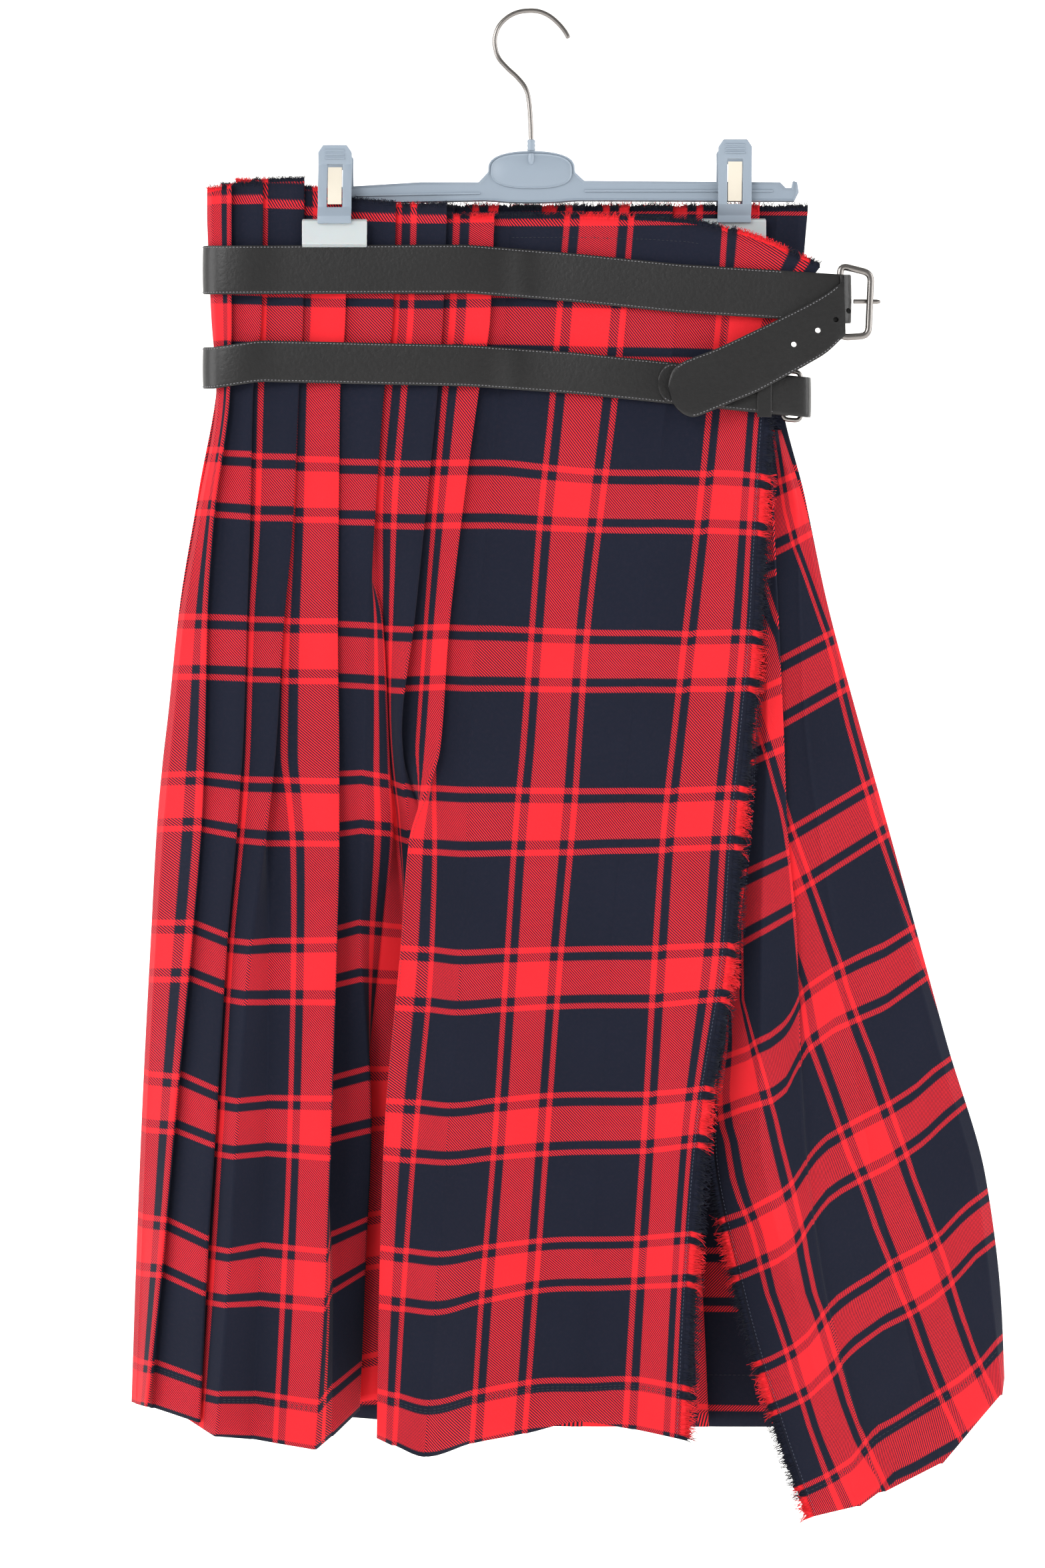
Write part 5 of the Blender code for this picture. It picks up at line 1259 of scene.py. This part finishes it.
def build_straps(leather, thread, metal):
    line, height = UPPER_STRAP_LINE, UPPER_STRAP_HEIGHT
    back = back_strap_depth(LEVELS[1], 0)
    points, centre = strap_route(line, height, UPPER_BAR, BUCKLE_BAR, 60, back, UPPER_BACK_END)
    top, bottom = edge_points(softened(points, 1), line, height)
    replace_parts(strap_mesh("strap_upper_skin", top, bottom, leather), "strap_upper")
    first = min(range(14, len(top)), key=lambda n: abs(top[n][0] - 174))
    strap_stitching("stitch_upper", top, bottom, first, len(top) - 6, thread)

    radius = BUCKLE_BAR / 2 + 2 * GAP + STRAP_THICKNESS * 1.5
    route = [(UPPER_BACK_END + GAP, back), (201, back - 1.5), (212, back - 6), (221, -2), (225, -9)]
    route = [tuple(p[:2]) for p in curve_through([(a, d, 0) for a, d in route], 4)]
    route += arc(centre, radius, 10, -80, 10)
    top, bottom = edge_points(route, line, height)
    tip_start = len(top)
    table = curve_through([(a, b, 0) for a, b, _, _ in UPPER_TONGUE], 3)
    lower = curve_through([(c, d, 0) for _, _, c, d in UPPER_TONGUE], 3)
    for high, low in zip(table, lower):
        top.append(seen(high[0], high[1], TONGUE_DEPTH))
        bottom.append(seen(low[0], low[1], TONGUE_DEPTH))
    tongue = strap_mesh("strap_upper_tongue_skin", top, bottom, leather)
    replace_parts(tongue, "strap_upper_tongue")
    strap_stitching("stitch_tongue", top, bottom, tip_start + 1, len(top) - 6, thread)
    punch(tongue, [seen(across, drop, TONGUE_DEPTH) for across, drop in TONGUE_HOLES], 1.9)

    depth = centre[1]
    corners = [seen(UPPER_BAR, 176.8, depth), seen(241, 182.3, depth), seen(239, 226, depth),
               seen(UPPER_BAR, 227.3, depth)]
    loop = rounded_loop(corners, 5.5)
    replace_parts(tube_mesh("buckle_upper_skin", loop, [BUCKLE_BAR / 2] * len(loop), 14, metal, True, 0.8),
                "buckle_upper")
    prong = curve_through([seen(228.8, 202, depth + 3.4), seen(238, 202, depth + 4.4),
                           seen(247.5, 202.2, depth + 4.4)], 6)
    radii = [1.6] * (len(prong) - 2) + [1.35, 0.8]
    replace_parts(tube_mesh("prong_upper_skin", prong, radii, 12, metal), "prong_upper")

    line, height = LOWER_STRAP_LINE, LOWER_STRAP_HEIGHT
    back = back_strap_depth(strap_line(line, 0), height)
    points, centre = strap_route(line, height, LOWER_BAR, LOWER_BUCKLE_BAR, 54, back, LOWER_BACK_END)
    top, bottom = edge_points(softened(points, 1), line, height)
    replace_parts(strap_mesh("strap_lower_skin", top, bottom, leather), "strap_lower")
    first = min(range(14, len(top)), key=lambda n: abs(top[n][0] - 152))
    strap_stitching("stitch_lower", top, bottom, first, len(top) - 6, thread)

    depth = centre[1]
    front = depth - LOWER_BUCKLE_BAR / 2 - 2 * GAP - STRAP_THICKNESS * 1.5
    route = [(LOWER_BACK_END + GAP, back), (188, back - 3), (194, back - 10), (197, -3), (197.6, -12),
             (196.5, front + 3), (193, front), (LOWER_BAR, front)]
    for across in (167, 150, 130, 112, 102):
        under = strap_depth(across, strap_line(line, across), height)
        route.append((across, under - STRAP_THICKNESS - 2 * GAP))
    route = [tuple(p[:2]) for p in curve_through([(a, d, 0) for a, d in route], 4)]
    top, bottom = edge_points(route, line, height - 1)
    tip, low = top[-1], bottom[-1]
    for beyond in (2, 4, 6, 7.5, 8.8, 9.6, 10.1):
        taper = math.sqrt(1 - (beyond / 10.3) ** 2)
        middle, half = (tip + low) / 2, (tip - low) / 2
        top.append(middle + half * taper + np.array((-beyond, 0, 0)))
        bottom.append(middle - half * taper + np.array((-beyond, 0, 0)))
    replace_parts(strap_mesh("strap_lower_tongue_skin", top, bottom, leather), "strap_lower_tongue")
    strap_stitching("stitch_lower_tongue", top, bottom, 30, len(top) - 4, thread)
    corners = [seen(LOWER_BAR, 250.5, depth), seen(LOWER_OUTER_BAR, 251.5, depth),
               seen(LOWER_OUTER_BAR, 285.5, depth), seen(LOWER_BAR, 284.5, depth)]
    loop = rounded_loop(corners, 4)
    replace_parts(tube_mesh("buckle_lower_skin", loop, [LOWER_BUCKLE_BAR / 2] * len(loop), 12, metal, True),
                "buckle_lower")
    build_keeper(line, height, leather)


def build_keeper(line, height, leather):
    across, width, wall = 166.2, 10.0, 1.6
    drop = strap_line(line, across)
    under = strap_depth(across, drop, height)
    outer = under - STRAP_THICKNESS * 1.5 - 5 * GAP - wall
    inner = under + STRAP_THICKNESS / 2 + GAP
    high, low = drop - height / 2 - 3 * GAP, drop + height / 2 + 3 * GAP
    profile = [(inner, high - wall), (outer, high - wall), (outer, low + wall), (inner, low + wall),
               (inner, low), (outer + wall, low), (outer + wall, high), (inner, high)]
    points = [seen(x, d, y) for x in (across - width / 2, across + width / 2) for y, d in profile]
    faces = [tuple(8 * e + c for c in corners) for e in (0, 1)
             for corners in ((0, 1, 6, 7), (1, 2, 5, 6), (2, 3, 4, 5))]
    faces += [(n, (n + 1) % 8, 8 + (n + 1) % 8, 8 + n) for n in range(8)]
    mesh = mesh_from("keeper_lower_skin", points, faces)
    tool = bmesh.new()
    tool.from_mesh(mesh)
    bmesh.ops.recalc_face_normals(tool, faces=tool.faces)
    tool.to_mesh(mesh)
    tool.free()
    piece = bevelled(new_object("keeper_lower_skin", mesh, [leather]), 0.4)
    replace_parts(piece, "keeper_lower")


# Fringes: loose threads at the frayed edges.

def fringe(name, edge, cloth, way, count, length, radius, material, seed, spread=0.28, curl=0.5, band=0.6):
    """Loose threads along an edge, thick at their roots.

    cloth gives each edge point's (u, v) for the threads' colour, and band is how much of their length
    is so thick that nothing shows through.
    """
    dice = random.Random(seed)
    edge = [np.asarray(p, float) for p in edge]
    reach = np.concatenate([[0], np.cumsum([np.linalg.norm(b - a) for a, b in zip(edge, edge[1:])])])
    columns = [[p[k] for p in edge] for k in range(3)]
    cloth_columns = [[c[k] for c in cloth] for k in range(2)]
    points, faces, uvs = [], [], []
    steps = int(reach[-1] / 0.9)
    for n in range(steps + 1):
        at = reach[-1] * n / steps
        place = np.array([np.interp(at, reach, c) for c in columns])
        ahead = np.array([np.interp(min(at + 2, reach[-1]), reach, c) for c in columns])
        behind = np.array([np.interp(max(at - 2, 0), reach, c) for c in columns])
        heading = unit(np.asarray(way, float))
        facing = unit(np.cross(heading, unit(ahead - behind)))
        tip = place + heading * length * band * dice.uniform(0.72, 1.12)
        tip += np.array((0, 0, -1.0)) * length * 0.04
        root = place - heading * 0.5
        points += [root + facing * 0.32, root - facing * 0.32, tip]
        uvs += [tuple(float(np.interp(at, reach, c)) for c in cloth_columns)] * 3
        if n:
            a, b = 3 * (n - 1), 3 * n
            faces += [(a, b, b + 2, a + 2), (b + 1, a + 1, a + 2, b + 2), (a + 1, b + 1, b, a)]
    faces += [(0, 2, 1), (3 * steps, 3 * steps + 1, 3 * steps + 2)]
    for n in range(count):
        at = reach[-1] * (n + dice.uniform(-0.4, 0.4)) / count
        at = min(max(at, 0.0), reach[-1])
        place = np.array([np.interp(at, reach, c) for c in columns])
        uv = tuple(float(np.interp(at, reach, c)) for c in cloth_columns)
        ahead = np.array([np.interp(min(at + 1, reach[-1]), reach, c) for c in columns])
        behind = np.array([np.interp(max(at - 1, 0), reach, c) for c in columns])
        along = unit(ahead - behind)
        heading = unit(np.asarray(way, float))
        facing = unit(np.cross(heading, along))
        lean = along * dice.gauss(0, spread) + facing * dice.gauss(0, spread * 0.6)
        long = length * dice.uniform(0.65, 1.1)
        twist = dice.uniform(0, 6.28)
        place = place - heading * 0.6 + facing * dice.uniform(-0.4, 0.4)
        base = len(points)
        segments = 4
        for s in range(segments + 1):
            t = s / segments
            wave = along * math.sin(twist + 5 * t) + facing * math.cos(twist + 4 * t)
            bend = lean * t + wave * curl * t * 0.12
            spot = place + (heading + bend) * long * t + np.array((0, 0, -1.0)) * t * t * long * 0.10
            fat = radius * (1.0 - 0.45 * t)
            for k in range(3):
                angle = 2.094 * k + twist
                points.append(spot + (along * math.cos(angle) + facing * math.sin(angle)) * fat)
                uvs.append(uv)
        for s in range(segments):
            for k in range(3):
                j = (k + 1) % 3
                a = base + 3 * s
                faces.append((a + k, a + j, a + 3 + j, a + 3 + k))
        faces.append((base + 3 * segments, base + 3 * segments + 1, base + 3 * segments + 2))
    return new_object(name, mesh_from(name, points, faces, uvs), [material])


def cloth_point(rows, vs, column, thread):
    """Where one weft thread crosses a column of the cloth's points."""
    column_v = [row_v[column] for row_v in vs]
    at = float(np.interp(thread, column_v, range(len(rows))))
    n = min(int(at), len(rows) - 2)
    return rows[n][column] + (rows[n + 1][column] - rows[n][column]) * (at - n)


def cloth_stitches(name, line, pitch, length, radius, material):
    out = np.array((0.0, -1.0, 0.0))
    raised = [point + out * (CLOTH_THICKNESS / 2 + 0.05) for point in line]
    return stitches(name, raised, [out] * len(raised), pitch, length, radius, material)


# Putting it together.

tartan = tartan_material()
weft_threads = tartan_material("fringe_weft", "weft")
warp_threads = tartan_material("fringe_warp", "warp")
leather = surface_material("black_leather", (0.0060, 0.0058, 0.0060), 0.38, 420.0, 0.40, variation=0.9)
leather.node_tree.nodes["Principled BSDF"].inputs["Specular IOR Level"].default_value = 0.42
# The strap's stitching thread is dark. Its light grey here is painted highlight, so the stitches show as
# light dots along the black strap's edges.
thread = surface_material("strap_thread_painted_highlight", (0.135, 0.135, 0.145), 0.45, 2500.0, 0.05)
seam_thread = surface_material("seam_thread", (0.020, 0.022, 0.030), 0.7, 2500.0, 0.05)
edge_thread = surface_material("edge_thread", (0.085, 0.100, 0.150), 0.7, 2500.0, 0.05)
metal = surface_material("nickel", (0.235, 0.220, 0.210), 0.24, 300.0, 0.02, metallic=1.0, variation=0.08)
grey = surface_material("grey_plastic", (0.245, 0.295, 0.355), 0.42, 500.0, 0.04, variation=0.06)
beige = surface_material("beige_spring", (0.62, 0.57, 0.48), 0.4, 500.0, 0.04, variation=0.08)
milky = surface_material("milky_pad", (0.44, 0.475, 0.485), 0.4, 400.0, 0.05, variation=0.05)
milky.node_tree.nodes["Principled BSDF"].inputs["Subsurface Weight"].default_value = 0.25
milky.node_tree.nodes["Principled BSDF"].inputs["Subsurface Scale"].default_value = 0.003

apron, pleats, rows, clothes, vs = build_front([tartan])
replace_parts(apron, "over_apron")
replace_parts(pleats, "pleats_front")
back_cloth, back_rows, back_clothes, back_vs = build_back([tartan])
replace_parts(back_cloth, "pleats_back")
under, under_rows, _, under_vs = build_under([tartan])
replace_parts(under, "under_apron")

build_straps(leather, thread, metal)
build_hanger(grey, metal)
build_clip("left", -134, 95, (-12.4, 3.4, 11.9, 3.4), (-13.4, -12.9, -10.4, -16.4, -17.6),
           (11, 10.5, 8, 13, 14.5), grey, beige, milky)
build_clip("right", 145, 91, (4.1, 0.0, 11.9, 3.4), (-13.4, -12.9, -10.4, -9, -7.5),
           (11, 10.5, 8, 13, 14.5), grey, beige, milky)

edge = [row[0] for row in rows]
edge_cloth = [(0.0, row_v[0]) for row_v in vs]
below = next(n for n, row in enumerate(rows) if row[0][2] < -0.278 / MM)
apron_fringe = fringe("fringe_apron", edge[below:], edge_cloth[below:], (1, -0.04, -0.20), 2300, 11.5, 0.30,
                      weft_threads, 11)
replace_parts(apron_fringe, "fringe_over_apron")
under_edge = [row[0] for row in under_rows]
under_cloth_edge = [(0.0, row_v[0]) for row_v in under_vs]
start = next(n for n, row in enumerate(under_rows) if row[0][2] < -0.345 / MM)
under_fringe = fringe("fringe_under", under_edge[start:], under_cloth_edge[start:], (-1, -0.12, -0.30),
                      2100, 10.0, 0.30, weft_threads, 23)
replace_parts(under_fringe, "fringe_under_apron")
count = next(n for n, u in enumerate(clothes[0]) if u > 224)
waist = fringe("fringe_waist_a", rows[0][:count], list(zip(clothes[0], vs[0]))[:count], (0.05, -0.1, 1), 900,
               6.0, 0.28, warp_threads, 31, spread=0.35)
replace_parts(waist, "fringe_waist_front")
pleat_waist = fringe("fringe_waist_pleats", rows[0][count:], list(zip(clothes[0], vs[0]))[count:],
                     (-0.05, -0.1, 1), 2400, 5.0, 0.26, warp_threads, 37, spread=0.35)
back_waist = fringe("fringe_waist_b", back_rows[0], list(zip(back_clothes[0], back_vs[0])),
                    (0.02, 0, 1), 1800, 8.0, 0.30, warp_threads, 41, spread=0.3)
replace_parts(back_waist, "fringe_waist_back")

HEM_STITCH, EDGE_STITCH = (3.4, 2.4, 0.20), (2.6, 1.7, 0.17)
HEM_SEAM_V, HEM_DEPTH = 768.0, 30.0


def cloth_seam(name, line, stitch, material):
    cloth_stitches(name, line, *stitch, material)


for name, thread_v in (("hem_seam", 767.5), ("hem_seam_low", 769.3)):
    line = [cloth_point(rows, vs, c, thread_v) for c in range(len(rows[0]))]
    cloth_seam(name + "_front", line, HEM_STITCH, seam_thread)
line = [cloth_point(under_rows, under_vs, c, HEM_SEAM_V) for c in range(len(under_rows[0]))]
cloth_seam("hem_seam_under", line, HEM_STITCH, seam_thread)
line = [cloth_point(back_rows, back_vs, c, hem_v - HEM_DEPTH) for c, hem_v in enumerate(back_vs[-1])]
cloth_seam("hem_seam_back", line, HEM_STITCH, seam_thread)
line = [row[0] + (row[1] - row[0]) * 0.35 for row in rows[below:]]
cloth_seam("edge_seam_apron", line, EDGE_STITCH, edge_thread)
line = [row[0] + (row[1] - row[0]) * 0.45 for row in under_rows[start:]]
cloth_seam("edge_seam_under", line, EDGE_STITCH, edge_thread)
columns = [c for c in range(len(rows[0])) if 60 < clothes[0][c] < 190]
line = [rows[2][c] + (rows[3][c] - rows[2][c]) * 0.3 for c in columns]
cloth_seam("waist_seam", line, (3.0, 2.0, 0.18), seam_thread)
fold = min(range(len(clothes[60])), key=lambda c: abs(clothes[60][c] - FRONT_FOLDS["E7"][0] - 0.5))
line = [row[fold] + (row[fold - 3] - row[fold]) * 1.25 for row in rows[24:118]]
cloth_seam("pressed_edge", line, (2.4, 1.5, 0.16), seam_thread)
